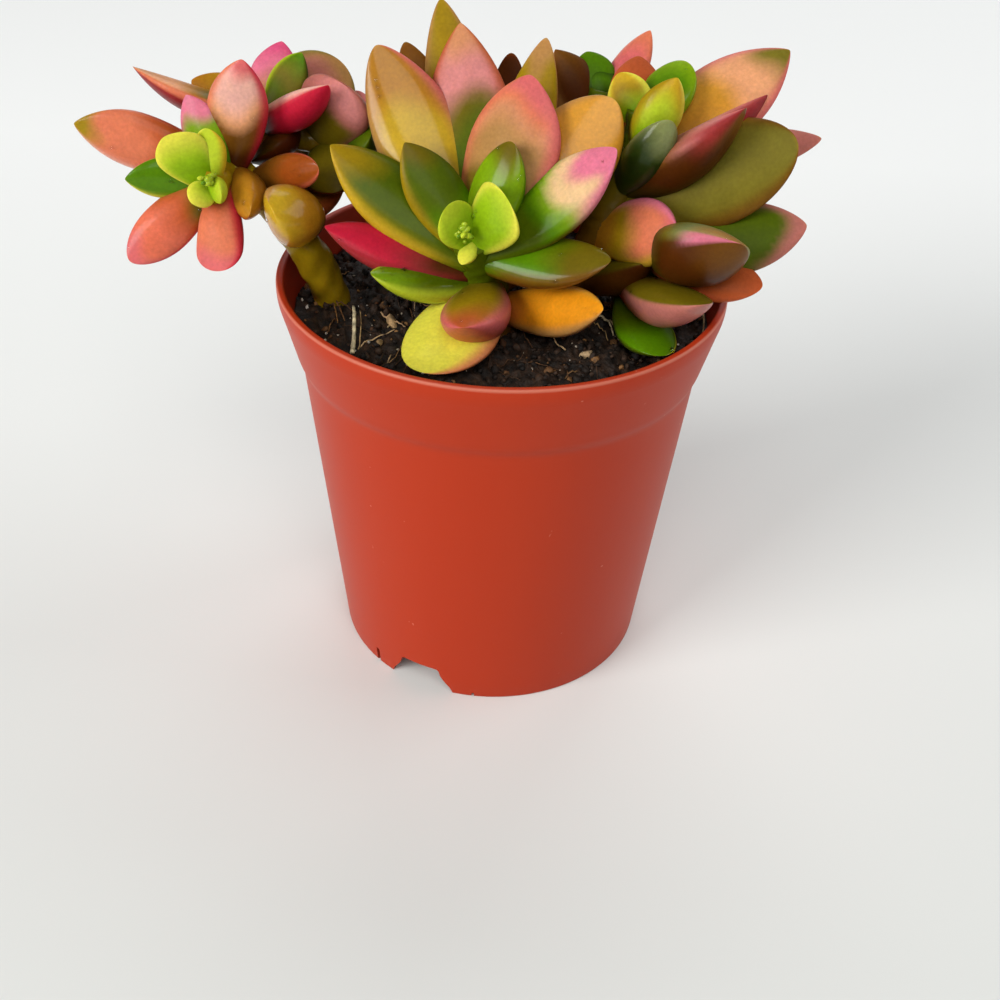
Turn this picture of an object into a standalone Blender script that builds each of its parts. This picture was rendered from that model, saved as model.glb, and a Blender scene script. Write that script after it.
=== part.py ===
"""A potted sand rose: a small pink, yellow and green Anacampseros in a thin plastic nursery pot.

The plant is five leafy heads. Each is one fused solid of its stems and its thick, pointed leaves, and
stands in holes of its own in the soil. The origin is the middle of the pot's underside, +Z is up and the
side that faces the viewer is -Y. Sizes below are in millimetres, and MM turns them to metres.
"""

import math
from collections import namedtuple

import bmesh
import bpy
from mathutils import Matrix, Vector

MM = 0.001

# Pot: a nursery pot of 55 mm across the rim, moulded with a wall of 0.8 mm
POT_HEIGHT = 52.6
RIM_RADIUS = 27.5
LIP_HEIGHT = 2.4
LIP_ROUND = 0.45
COLLAR_TOP_RADIUS = 27.0
COLLAR_FOOT_RADIUS = 26.0
COLLAR_FOOT_HEIGHT = 42.6
BODY_TOP_RADIUS = 24.9
BODY_TOP_HEIGHT = 41.4
FOOT_RADIUS = 20.7
WALL = 0.8
FLOOR = 0.9
STANDING_DISC_RADIUS = 11.0
CHANNEL_INNER_RADIUS = 13.0
CHANNEL_HEIGHT = 4.5
POT_SEGMENTS = 48

# Two notches in the foot let water out from under the raised channel, each with a slit beside it.
# A cutter reaches past the face that it opens by CUT_BEYOND.
NOTCH_WIDTH = 6.8
NOTCH_HEIGHT = 4.2
NOTCH_CORNER = 1.3
NOTCH_DEPTH = 5.0
SLIT_WIDTH = 0.7
SLIT_HEIGHT = 2.7
NOTCH_TURNS = (239.0, 59.0)
SLIT_OFFSET = -21.0
DRAIN_HOLES = 6
DRAIN_HOLE_RADIUS = 1.8
DRAIN_CIRCLE_RADIUS = 16.0
CUT_BEYOND = 1.2

# Soil: fills the pot to a few millimetres below the rim
SOIL_LEVEL = 47.3
SOIL_MOUND = 0.9
SOIL_LUMP = 0.45
SOIL_SEGMENTS = 36
SOIL_RINGS = 9
GAP = 0.3
HOLE_FLOOR = 39.0
HOLE_CLEARANCE = 0.5

# Stems and leaves. Seen from above, a leaf swells from its neck to its belly; seen from the side, it is
# fullest at FULLEST of its length, flatter above its middle than below, and bowed down by BOW.
STEM_FOOT = 40.0
STEM_STEP = 1.6
STEM_TAPER = 0.8
LEAF_SIDES = 8
LEAF_RINGS = 7
SMALL_LEAF = 9.0
SMALL_LEAF_SIDES = 6
SMALL_LEAF_RINGS = 6
NECK = 0.45
FULLEST = 0.4
FLATTER = 0.75
FULLER = 1.25
SUNK = 0.7
BOW = 0.05
FOCUS = 12.0
FAN_RISE_STEP = 9.0
FAN_LENGTH_STEP = 1.0
FAN_DROP_STEP = 1.2

# A leaf grows from the stem, drop below its growing tip, and reaches to the point tip. Roll turns its
# upper face about its length, point is 1 for a sharp end and 0 for a round one, and belly is how far
# along it is widest.
Leaf = namedtuple("Leaf", "tip drop width thickness roll point belly", defaults=(0.0, 0.7, 0.55))

# A fan is a row of leaves on the far side of a stem, evenly turned from first to last about +Z
Fan = namedtuple("Fan", "count first last rise length drop width thickness")

# A stem stands at foot, passes through the via points and ends at its growing tip, the crown
Stem = namedtuple("Stem", "foot via crown radius")

Shoot = namedtuple("Shoot", "stem leaves fans")

LEFT = Shoot(
    Stem((-21.2, 0.0), ((-24.4, -2.0, 57.0), (-29.0, 0.5, 61.5), (-32.5, -1.0, 64.4)),
         (-33.5, -6.5, 64.8), 2.3),
    (
        Leaf((-49.5, -1.0, 69.5), 4.5, 6.8, 4.4, belly=0.6),
        Leaf((-36.5, 0.0, 73.0), 4.0, 5.2, 3.2),
        Leaf((-29.6, -1.0, 77.6), 6.0, 7.0, 4.6, -10),
        Leaf((-43.0, -6.0, 65.2), 2.5, 4.8, 3.4),
        Leaf((-37.6, -7.5, 70.9), 1.2, 6.2, 2.8, -10, 0.45, belly=0.65),
        Leaf((-33.0, -6.0, 71.5), 1.2, 3.6, 2.6, 0, 0.2, belly=0.65),
        Leaf((-35.0, -9.0, 64.0), 0.6, 3.2, 2.0, 0, 0.6),
        Leaf((-31.5, -9.0, 65.0), 0.6, 3.0, 2.0, 0, 0.5),
        Leaf((-42.9, -9.0, 56.5), 2.5, 5.8, 4.4, 0, 0.3, belly=0.6),
        Leaf((-32.4, -10.0, 56.2), 2.5, 5.8, 4.2, 0, 0.0, belly=0.78),
        Leaf((-28.5, -9.0, 63.0), 6.5, 4.6, 4.4, 0, 0.2),
        Leaf((-21.0, -6.0, 67.5), 9.0, 4.4, 4.0, 0, 0.3),
        Leaf((-26.0, -10.0, 64.6), 17.0, 7.2, 6.6, 0, 0.1),
    ),
    (
        Fan(2, 165, 200, 8, 12, 10.0, 6.0, 4.2),
        Fan(2, 60, 105, 4, 12, 14.0, 6.0, 4.4),
    ),
)

BACK_LEFT = Shoot(
    Stem((-6.0, 5.0), ((-16.0, 6.5, 62.5), (-24.5, 7.0, 66.0)), (-29.5, 6.0, 69.0), 2.0),
    (
        Leaf((-43.0, 5.5, 74.0), 0.2, 5.6, 3.4, -40, 0.75),
        Leaf((-38.0, 9.0, 71.5), 3.0, 6.0, 3.8, 0, 0.6),
        Leaf((-27.4, 12.0, 75.6), 0.5, 6.0, 3.2, -60),
        Leaf((-24.6, 9.0, 75.3), 1.0, 4.8, 3.0, -60, 0.6),
        Leaf((-21.1, 13.0, 73.7), 3.0, 9.5, 5.0, -80, 0.1),
        Leaf((-20.5, 1.0, 74.4), 1.0, 5.6, 4.0, 45),
        Leaf((-19.1, 2.8, 74.0), 8.0, 9.0, 5.2, -70, 0.1, belly=0.6),
        Leaf((-20.0, 0.0, 62.0), 9.0, 7.6, 5.0, 50, 0.4),
        Leaf((-16.0, 3.0, 68.0), 11.0, 4.6, 3.6, 0, 0.3),
        Leaf((-27.8, 2.5, 63.6), 3.0, 5.0, 3.4, 0, 0.4),
    ),
    (
        Fan(3, 75, 165, 8, 13, 4.0, 6.6, 4.2),
        Fan(3, 60, 140, 0, 13, 11.0, 6.8, 4.6),
        Fan(3, 62, 128, -5, 12, 19.0, 6.8, 4.8),
    ),
)

CENTRE = Shoot(
    Stem((-0.5, -4.5), ((-1.5, -4.5, 52.0),), (-3.5, -9.0, 61.0), 2.8),
    (
        Leaf((-6.0, 9.0, 79.5), 4.0, 10.4, 5.4, 0, 0.8),
        Leaf((-8.5, 13.0, 81.0), 6.0, 8.0, 4.4, 0, 0.6),
        Leaf((-15.5, 6.0, 77.5), 5.0, 10.6, 5.6, 0, 0.5),
        Leaf((-12.7, 12.0, 76.1), 7.0, 8.0, 4.4, 0, 0.5),
        Leaf((2.5, 1.0, 76.5), 3.0, 10.6, 5.4, 0, 0.6),
        Leaf((0.5, -5.0, 71.0), 1.5, 6.6, 4.4, 0, 0.4),
        Leaf((-0.4, -12.0, 68.4), 0.6, 7.4, 3.0, -35, 0.1, belly=0.75),
        Leaf((-6.5, -11.0, 65.5), 0.4, 5.2, 2.4, 30, 0.2),
        Leaf((-4.5, -12.5, 59.5), 0.2, 2.2, 1.6, 0, 0.6),
        Leaf((-11.5, -4.0, 70.0), 2.5, 6.8, 4.4, 0, 0.75),
        Leaf((-20.0, -3.0, 69.0), 4.0, 8.4, 5.2, 0, 0.8),
        Leaf((-20.2, -9.0, 61.8), 6.0, 6.2, 4.2, 0, 0.75),
        Leaf((11.9, 0.0, 74.4), 4.0, 10.6, 5.0, -25, 0.3, belly=0.65),
        Leaf((12.0, -7.5, 71.6), 2.5, 8.8, 5.0, 0, 0.6),
        Leaf((12.0, -13.0, 61.0), 3.0, 6.6, 4.4, 0, 0.5),
        Leaf((-14.8, -12.0, 57.7), 8.0, 5.4, 4.2, 0, 0.5),
        Leaf((-4.0, -19.0, 55.2), 9.0, 8.0, 6.2, 0, 0.25),
        Leaf((-7.5, -20.5, 50.2), 8.5, 12.0, 4.0, 0, 0.0),
        Leaf((11.2, -15.5, 57.2), 10.5, 7.2, 4.8, -25, 0.35),
        Leaf((4.0, 8.0, 78.5), 5.0, 8.6, 4.6, 0, 0.4),
        Leaf((0.0, 13.0, 75.0), 7.0, 6.4, 4.0, 0, 0.6),
    ),
    (
        Fan(3, 48, 88, 30, 17, 9.0, 7.0, 4.6),
        Fan(1, 152, 152, 34, 17, 9.0, 7.4, 4.8),
        Fan(1, 88, 88, 30, 12, 11.5, 6.4, 4.6),
    ),
)

RIGHT = Shoot(
    Stem((9.5, 1.0), ((11.0, -1.0, 58.5), (14.6, 1.0, 67.0)), (15.4, 1.5, 72.5), 2.3),
    (
        Leaf((19.0, -10.0, 65.0), 14.0, 8.4, 5.4, -85, 0.4),
        Leaf((17.0, -8.0, 58.5), 21.0, 5.2, 4.2, 0, 0.4),
        Leaf((15.0, 9.0, 76.5), 3.0, 7.0, 4.0, 0, 0.5),
        Leaf((12.4, 4.5, 75.9), 1.5, 5.2, 2.6, 70, 0.4),
        Leaf((18.5, -1.0, 77.5), 4.0, 5.4, 3.6, 30, 0.6),
        Leaf((20.1, 6.0, 77.1), 1.5, 7.0, 3.2, 0, 0.1),
        Leaf((17.8, -5.2, 74.2), 8.0, 5.2, 4.3, 16, 0.2),
        Leaf((32.0, 7.0, 78.5), 5.0, 10.0, 5.4, -35, 0.75),
        Leaf((30.0, 4.0, 74.5), 7.0, 7.4, 4.6, 30, 0.75),
        Leaf((26.0, -4.0, 75.5), 8.0, 8.4, 5.6, 0, 0.4),
        Leaf((32.5, -3.0, 71.5), 12.0, 12.0, 5.8, -70, 0.15),
        Leaf((37.0, 5.0, 69.0), 12.0, 6.0, 4.0, -40, 0.6),
    ),
    (
        Fan(2, 25, 55, 8, 15, 5.0, 6.6, 4.2),
        Fan(3, 10, 55, 6, 16, 12.0, 7.4, 4.8),
        Fan(2, 25, 52, 4, 14, 19.0, 7.2, 4.8),
    ),
)

LOW_RIGHT = Shoot(
    Stem((15.5, -1.0), ((15.5, -4.0, 55.0),), (19.0, -6.0, 60.5), 2.0),
    (
        Leaf((35.0, -4.0, 62.0), 2.0, 8.6, 5.0, -20, 0.6),
        Leaf((26.0, -14.0, 64.0), 0.5, 10.4, 7.0, -10, 0.3),
        Leaf((30.0, -9.0, 56.5), 3.0, 6.4, 4.6, -25, 0.3),
        Leaf((22.3, -18.0, 58.7), 8.5, 6.8, 5.2, -25, 0.2),
        Leaf((21.0, -12.7, 51.6), 11.0, 6.0, 3.6, -45, 0.2),
    ),
    (Fan(2, 20, 55, 18, 14, 6.0, 6.4, 4.4),),
)

BACK = Shoot(
    Stem((5.0, 12.0), ((8.5, 10.0, 60.5),), (11.0, 10.0, 72.0), 2.0),
    (
        Leaf((6.5, 11.5, 76.1), 3.5, 8.0, 4.4, 60, 0.5),
        Leaf((9.0, 13.0, 75.5), 1.0, 5.4, 3.0, 40, 0.5),
        Leaf((11.3, 12.0, 74.3), 0.8, 4.0, 2.6, 0, 0.6),
        Leaf((16.5, 14.0, 78.0), 3.0, 5.0, 3.4),
        Leaf((16.5, 16.0, 74.2), 5.0, 5.0, 3.2, 0, 0.6),
    ),
    (
        Fan(3, 70, 135, 6, 13, 3.0, 6.0, 3.8),
        Fan(4, 62, 150, 15, 15, 9.0, 7.4, 4.8),
        Fan(3, 55, 140, 4, 13, 15.5, 7.2, 4.8),
    ),
)

Plant = namedtuple("Plant", "name shoots colour")
PLANTS = (
    Plant("head_left", (LEFT,), (0.62, 0.26, 0.12)),
    Plant("head_back_left", (BACK_LEFT,), (0.38, 0.20, 0.08)),
    Plant("head_centre", (CENTRE,), (0.34, 0.36, 0.05)),
    Plant("head_right", (RIGHT, LOW_RIGHT), (0.45, 0.24, 0.12)),
    Plant("head_back", (BACK,), (0.20, 0.26, 0.05)),
)
SHOOTS = tuple(shoot for plant in PLANTS for shoot in plant.shoots)


def make_material(name, colour, roughness):
    """A Principled material of one colour."""
    material = bpy.data.materials.new(name)
    material.use_nodes = True
    surface = material.node_tree.nodes["Principled BSDF"]
    surface.inputs["Base Color"].default_value = (*colour, 1.0)
    surface.inputs["Roughness"].default_value = roughness
    surface.inputs["Metallic"].default_value = 0.0
    return material


def make_object(name, mesh, collection, material=None):
    """An object that holds the mesh, in a collection."""
    thing = bpy.data.objects.new(name, mesh)
    collection.objects.link(thing)
    if material is not None:
        mesh.materials.append(material)
    return thing


def make_cutter(name, form, collection):
    """A hidden solid that only cuts others."""
    mesh = bpy.data.meshes.new(name)
    form.to_mesh(mesh)
    form.free()
    cutter = make_object(name, mesh, collection)
    cutter.hide_render = True
    cutter.display_type = "WIRE"
    return cutter


def cut(thing, cutters):
    """Cut a solid by every object of a collection."""
    boolean = thing.modifiers.new("cuts", "BOOLEAN")
    boolean.operation = "DIFFERENCE"
    boolean.operand_type = "COLLECTION"
    boolean.collection = cutters
    boolean.solver = "EXACT"


def turned_mesh(name, profile):
    """A mesh of one open line in the XZ plane, for a Screw modifier to turn."""
    mesh = bpy.data.meshes.new(name)
    points = [(radius * MM, 0.0, height * MM) for radius, height in profile]
    mesh.from_pydata(points, [(i, i + 1) for i in range(len(points) - 1)], [])
    return mesh


def turn_solid(thing, segments):
    """Turn a line about Z into a closed solid."""
    screw = thing.modifiers.new("turned", "SCREW")
    screw.steps = segments
    screw.render_steps = segments
    screw.use_merge_vertices = True
    screw.merge_threshold = 0.00001


def body_radius(height):
    """The outer radius of the pot's tapered body at a height."""
    return FOOT_RADIUS + (BODY_TOP_RADIUS - FOOT_RADIUS) * height / BODY_TOP_HEIGHT


def pot_profile():
    """From the middle of the inner floor, up the inner wall, over the lip and down the outer wall."""
    channel_top = CHANNEL_HEIGHT + FLOOR
    lip_foot = POT_HEIGHT - LIP_HEIGHT
    return (
        (0.0, FLOOR),
        (STANDING_DISC_RADIUS, FLOOR),
        (CHANNEL_INNER_RADIUS, channel_top),
        (body_radius(channel_top) - WALL, channel_top),
        (BODY_TOP_RADIUS - WALL, BODY_TOP_HEIGHT),
        (COLLAR_FOOT_RADIUS - WALL, COLLAR_FOOT_HEIGHT),
        (COLLAR_TOP_RADIUS - WALL, lip_foot),
        (RIM_RADIUS - WALL, POT_HEIGHT - LIP_ROUND),
        (RIM_RADIUS - LIP_ROUND, POT_HEIGHT),
        (RIM_RADIUS - 0.3 * LIP_ROUND, POT_HEIGHT - 0.3 * LIP_ROUND),
        (RIM_RADIUS, POT_HEIGHT - LIP_ROUND),
        (RIM_RADIUS, lip_foot + LIP_ROUND),
        (COLLAR_TOP_RADIUS, lip_foot),
        (COLLAR_FOOT_RADIUS, COLLAR_FOOT_HEIGHT),
        (BODY_TOP_RADIUS, BODY_TOP_HEIGHT),
        (FOOT_RADIUS, 0.0),
        (FOOT_RADIUS - WALL, 0.0),
        (FOOT_RADIUS - WALL, CHANNEL_HEIGHT),
        (CHANNEL_INNER_RADIUS + WALL, CHANNEL_HEIGHT),
        (STANDING_DISC_RADIUS + WALL, 0.0),
        (0.0, 0.0),
    )


def wall_cutter(name, turn, width, height, corner, collection):
    """A box through the foot of the wall, with its upper corners rounded, at an angle about Z."""
    form = bmesh.new()
    bmesh.ops.create_cube(form, size=1.0)
    outer_end = body_radius(height) + CUT_BEYOND
    for vertex in form.verts:
        vertex.co.x = (outer_end + (vertex.co.x - 0.5) * NOTCH_DEPTH) * MM
        vertex.co.y *= width * MM
        vertex.co.z = ((vertex.co.z + 0.5) * (height + CUT_BEYOND) - CUT_BEYOND) * MM
    upper_edges = [
        edge for edge in form.edges
        if all(vertex.co.z > 0.0 for vertex in edge.verts)
        and abs(edge.verts[0].co.y - edge.verts[1].co.y) < 1e-6
    ]
    if corner > 0.0:
        bmesh.ops.bevel(form, geom=upper_edges, offset=corner * MM, segments=3, affect="EDGES", profile=0.5)
    form.transform(Matrix.Rotation(math.radians(turn), 4, "Z"))
    return make_cutter(name, form, collection)


def pole_cutter(name, x, y, low, high, radius, collection, sides=12):
    """A round upright cutter between two heights."""
    form = bmesh.new()
    bmesh.ops.create_cone(
        form, cap_ends=True, segments=sides, radius1=radius * MM, radius2=radius * MM,
        depth=(high - low) * MM, matrix=Matrix.Translation((x * MM, y * MM, (high + low) / 2 * MM)),
    )
    return make_cutter(name, form, collection)


def build_pot(collection, cutters):
    """The turned pot, its foot notches and slits and the drain holes of its channel."""
    mesh = turned_mesh("pot", pot_profile())
    plastic = make_material("terracotta_plastic", (0.56, 0.09, 0.035), 0.42)
    pot = make_object("pot", mesh, collection, plastic)
    turn_solid(pot, POT_SEGMENTS)
    for index, turn in enumerate(NOTCH_TURNS):
        wall_cutter(f"notch_{index}", turn, NOTCH_WIDTH, NOTCH_HEIGHT, NOTCH_CORNER, cutters)
        wall_cutter(f"slit_{index}", turn + SLIT_OFFSET, SLIT_WIDTH, SLIT_HEIGHT, 0.0, cutters)
    for index in range(DRAIN_HOLES):
        turn = math.tau * index / DRAIN_HOLES
        x = DRAIN_CIRCLE_RADIUS * math.cos(turn)
        y = DRAIN_CIRCLE_RADIUS * math.sin(turn)
        low = CHANNEL_HEIGHT - CUT_BEYOND
        high = CHANNEL_HEIGHT + FLOOR + CUT_BEYOND
        pole_cutter(f"drain_{index}", x, y, low, high, DRAIN_HOLE_RADIUS, cutters, sides=8)
    cut(pot, cutters)
    return pot


def soil_height(x, y):
    """The soil's surface: a low mound with crossing waves, so that it lies in lumps."""
    radius = math.hypot(x, y)
    mound = SOIL_MOUND * max(0.0, 1.0 - (radius / RIM_RADIUS) ** 2)
    waves = math.sin(0.55 * x + 1.3) * math.cos(0.48 * y - 0.4) + 0.6 * math.sin(0.9 * x - 0.7 * y)
    return SOIL_LEVEL + mound + SOIL_LUMP * waves


def build_soil(collection, cutters):
    """Soil that follows the pot's inside, with a plain hole for each stem."""
    channel_top = CHANNEL_HEIGHT + FLOOR
    collar_radius = COLLAR_FOOT_RADIUS - WALL - GAP
    surface_radius = collar_radius + GAP
    edge = (
        (0.0, FLOOR + GAP),
        (STANDING_DISC_RADIUS - 2 * GAP, FLOOR + GAP),
        (CHANNEL_INNER_RADIUS - GAP, channel_top + GAP),
        (body_radius(channel_top) - WALL - GAP, channel_top + GAP),
        (BODY_TOP_RADIUS - WALL - GAP, BODY_TOP_HEIGHT),
        (collar_radius, COLLAR_FOOT_HEIGHT + GAP),
        (surface_radius, SOIL_LEVEL),
    )
    rings = [(surface_radius * (1 - i / SOIL_RINGS), SOIL_LEVEL) for i in range(1, SOIL_RINGS)]
    mesh = turned_mesh("soil_line", tuple(reversed((*edge, *rings, (0.0, SOIL_LEVEL)))))
    line = make_object("soil_line", mesh, collection)
    turn_solid(line, SOIL_SEGMENTS)
    soil_mesh = evaluated_mesh(line, "soil")
    bpy.data.objects.remove(line)
    for vertex in soil_mesh.vertices:
        x, y, z = vertex.co / MM
        if z > SOIL_LEVEL - 0.1:
            vertex.co.z = soil_height(x, y) * MM
    peat = make_material("peat_soil", (0.02, 0.013, 0.009), 0.95)
    soil = make_object("soil", soil_mesh, collection, peat)
    for index, shoot in enumerate(SHOOTS):
        x, y = shoot.stem.foot
        radius = shoot.stem.radius + HOLE_CLEARANCE
        pole_cutter(f"stem_hole_{index}", x, y, HOLE_FLOOR, POT_HEIGHT, radius, cutters)
    cut(soil, cutters)
    return soil


def evaluated_mesh(thing, name):
    """The mesh that an object shows once its modifiers have run, with its doubled points merged."""
    graph = bpy.context.evaluated_depsgraph_get()
    graph.update()
    mesh = bpy.data.meshes.new_from_object(thing.evaluated_get(graph), depsgraph=graph)
    mesh.name = name
    form = bmesh.new()
    form.from_mesh(mesh)
    bmesh.ops.remove_doubles(form, verts=form.verts, dist=0.000001)
    bmesh.ops.recalc_face_normals(form, faces=form.faces)
    form.to_mesh(mesh)
    form.free()
    return mesh


def stem_line(stem):
    """Points along the stem's middle: upright in its hole, then on a Catmull-Rom curve to its crown."""
    x, y = stem.foot
    surface = Vector((x, y, SOIL_LEVEL + SOIL_MOUND))
    knots = [surface, *(Vector(point) for point in stem.via), Vector(stem.crown)]
    upright_start = surface - Vector((0.0, 0.0, (knots[1] - surface).length))
    knots = [upright_start, *knots, 2 * knots[-1] - knots[-2]]
    points = [Vector((x, y, STEM_FOOT))]
    for index in range(1, len(knots) - 2):
        before, start, end, after = knots[index - 1:index + 3]
        steps = max(2, round((end - start).length / STEM_STEP))
        for step in range(steps):
            t = step / steps
            points.append(0.5 * (
                2 * start + (end - before) * t
                + (2 * before - 5 * start + 4 * end - after) * t ** 2
                + (3 * start - before - 3 * end + after) * t ** 3
            ))
    points.append(knots[-2])
    return points


def point_below_crown(line, drop):
    """The point on a stem's line that lies drop below its crown, measured along the line."""
    for upper, lower in zip(reversed(line), reversed(line[:-1])):
        length = (upper - lower).length
        if drop <= length:
            return upper.lerp(lower, drop / length)
        drop -= length
    return line[0]


def build_stem(name, line, radius, collection):
    """A round stem along its line, a little thinner at the crown."""
    curve = bpy.data.curves.new(name, "CURVE")
    curve.dimensions = "3D"
    curve.bevel_depth = radius * MM
    curve.bevel_resolution = 2
    curve.use_fill_caps = True
    spline = curve.splines.new("POLY")
    spline.points.add(len(line) - 1)
    for index, point in enumerate(line):
        along = index / (len(line) - 1)
        spline.points[index].co = (*(point * MM), 1.0)
        spline.points[index].radius = 1.0 - (1.0 - STEM_TAPER) * along
    rod = make_object(name, curve, collection)
    mesh = evaluated_mesh(rod, name)
    bpy.data.objects.remove(rod)
    return make_object(name, mesh, collection)


def leaf_width(along, belly, point):
    """Half-width as a share: it swells from the neck to the belly, then ends sharp or round."""
    if along < belly:
        return NECK + (1 - NECK) * math.sin(math.pi / 2 * along / belly) ** 1.2
    t = (along - belly) / (1 - belly)
    return point * (1 - t ** 2.2) + (1 - point) * math.sqrt(max(0.0, 1 - t * t))


def leaf_depth(along):
    """Half-thickness as a share: three quarters at the neck, then full, then down to nothing."""
    if along < FULLEST:
        return 0.75 + 0.25 * math.sin(math.pi / 2 * along / FULLEST)
    return 1 - ((along - FULLEST) / (1 - FULLEST)) ** 2.2


def build_leaf(name, root, leaf, inward, collection):
    """A sphere drawn out from root to tip: flatter above, fuller below, its middle bowed down."""
    tip = Vector(leaf.tip)
    forward = (tip - root).normalized()
    root = root - SUNK * forward
    length = (tip - root).length
    face = (inward - inward.dot(forward) * forward).normalized()
    face = Matrix.Rotation(math.radians(-leaf.roll), 3, forward) @ face
    side = face.cross(forward)
    small = length < SMALL_LEAF
    sides = SMALL_LEAF_SIDES if small else LEAF_SIDES
    rings = SMALL_LEAF_RINGS if small else LEAF_RINGS
    form = bmesh.new()
    bmesh.ops.create_uvsphere(form, u_segments=sides, v_segments=rings, radius=1.0)
    for vertex in form.verts:
        along = (1 + vertex.co.z) / 2
        angle = math.atan2(vertex.co.y, vertex.co.x)
        ring = 0.0 if abs(vertex.co.z) > 0.9999 else 1.0
        half_width = leaf.width / 2 * leaf_width(along, leaf.belly, leaf.point)
        across = ring * half_width * math.cos(angle)
        fullness = FLATTER if math.sin(angle) > 0 else FULLER
        height = ring * leaf.thickness / 2 * leaf_depth(along) * fullness * math.sin(angle)
        height -= BOW * length * 4 * along * (1 - along)
        vertex.co = (root + along * length * forward + across * side + height * face) * MM
    bmesh.ops.recalc_face_normals(form, faces=form.faces)
    mesh = bpy.data.meshes.new(name)
    form.to_mesh(mesh)
    form.free()
    return make_object(name, mesh, collection)


def fan_leaves(fan, line):
    """The leaves of a fan, each second one standing a little higher and longer than its neighbours."""
    leaves = []
    for index in range(fan.count):
        turn = math.radians(fan.first + (fan.last - fan.first) * index / max(1, fan.count - 1))
        odd = index % 2
        rise = math.radians(fan.rise + FAN_RISE_STEP * odd)
        length = fan.length + FAN_LENGTH_STEP * odd
        drop = fan.drop + FAN_DROP_STEP * odd
        way = Vector((math.cos(turn) * math.cos(rise), math.sin(turn) * math.cos(rise), math.sin(rise)))
        tip = point_below_crown(line, drop) + length * way
        leaves.append(Leaf(tuple(tip), drop, fan.width, fan.thickness))
    return leaves


def build_shoot(name, shoot, collection):
    """The stem and the leaves of one shoot, still as loose solids that overlap."""
    line = stem_line(shoot.stem)
    build_stem(f"{name}_stem", line, shoot.stem.radius, collection)
    crown = line[-1]
    axis = (crown - point_below_crown(line, 6.0)).normalized()
    focus = crown + FOCUS * axis
    leaves = list(shoot.leaves)
    for fan in shoot.fans:
        leaves += fan_leaves(fan, line)
    for index, leaf in enumerate(leaves):
        root = point_below_crown(line, leaf.drop)
        inward = focus - (root + Vector(leaf.tip)) / 2
        build_leaf(f"{name}_leaf_{index}", root, leaf, inward, collection)


def largest_body(mesh):
    """Cut a mesh into triangles and keep its largest body: a sealed hollow is filled, a loose scrap dropped.

    A body is all the triangles that can be reached over edges with one triangle on either side. A scrap
    that only touches the body along an edge or at a point is a body of its own.
    """
    form = bmesh.new()
    form.from_mesh(mesh)
    bmesh.ops.triangulate(form, faces=form.faces)
    waiting = set(form.faces)
    largest = []
    while waiting:
        body = []
        reached = [waiting.pop()]
        while reached:
            face = reached.pop()
            body.append(face)
            for edge in face.edges:
                if len(edge.link_faces) != 2:
                    continue
                for other in edge.link_faces:
                    if other in waiting:
                        waiting.remove(other)
                        reached.append(other)
        if len(body) > len(largest):
            largest = body
    kept = set(largest)
    scraps = [face for face in form.faces if face not in kept]
    bmesh.ops.delete(form, geom=scraps, context="FACES")
    form.to_mesh(mesh)
    form.free()


def build_plant(plant, collection):
    """Fuse the stems and leaves of a plant's shoots into one solid."""
    pieces = bpy.data.collections.new(f"{plant.name}_pieces")
    bpy.context.scene.collection.children.link(pieces)
    for index, shoot in enumerate(plant.shoots):
        build_shoot(f"{plant.name}_{index}", shoot, pieces)
    first = pieces.objects[0]
    body = make_object(plant.name, first.data.copy(), collection)
    bpy.data.objects.remove(first)
    union = body.modifiers.new("joined", "BOOLEAN")
    union.operation = "UNION"
    union.operand_type = "COLLECTION"
    union.collection = pieces
    union.solver = "EXACT"
    union.use_self = True
    mesh = evaluated_mesh(body, plant.name)
    largest_body(mesh)
    for piece in list(pieces.objects):
        bpy.data.objects.remove(piece)
    bpy.data.collections.remove(pieces)
    bpy.data.objects.remove(body)
    mesh.materials.clear()
    skin = make_material(f"{plant.name}_leaves", plant.colour, 0.35)
    body = make_object(plant.name, mesh, collection, skin)
    mesh.shade_smooth()
    mesh.set_sharp_from_angle(angle=math.radians(50))
    return body


for old in list(bpy.data.objects):
    bpy.data.objects.remove(old)
potted_sand_rose = bpy.data.collections.new("potted_sand_rose")
pot_cutters = bpy.data.collections.new("pot_cutters")
soil_cutters = bpy.data.collections.new("soil_cutters")
for group in (potted_sand_rose, pot_cutters, soil_cutters):
    bpy.context.scene.collection.children.link(group)

build_pot(potted_sand_rose, pot_cutters)
build_soil(potted_sand_rose, soil_cutters)
for sand_rose in PLANTS:
    build_plant(sand_rose, potted_sand_rose)
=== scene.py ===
"""A potted sand rose, dressed for a picture: skin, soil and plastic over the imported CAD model.

The sections follow the object as it is put together: the pot, the soil and what lies in it, and then
the five leafy heads. Lengths are in millimetres, and MM turns them to the metres of the frame.
"""

import math
import re
from collections import namedtuple

import bmesh
import bpy
import numpy as np
from mathutils import Matrix, Vector


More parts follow.
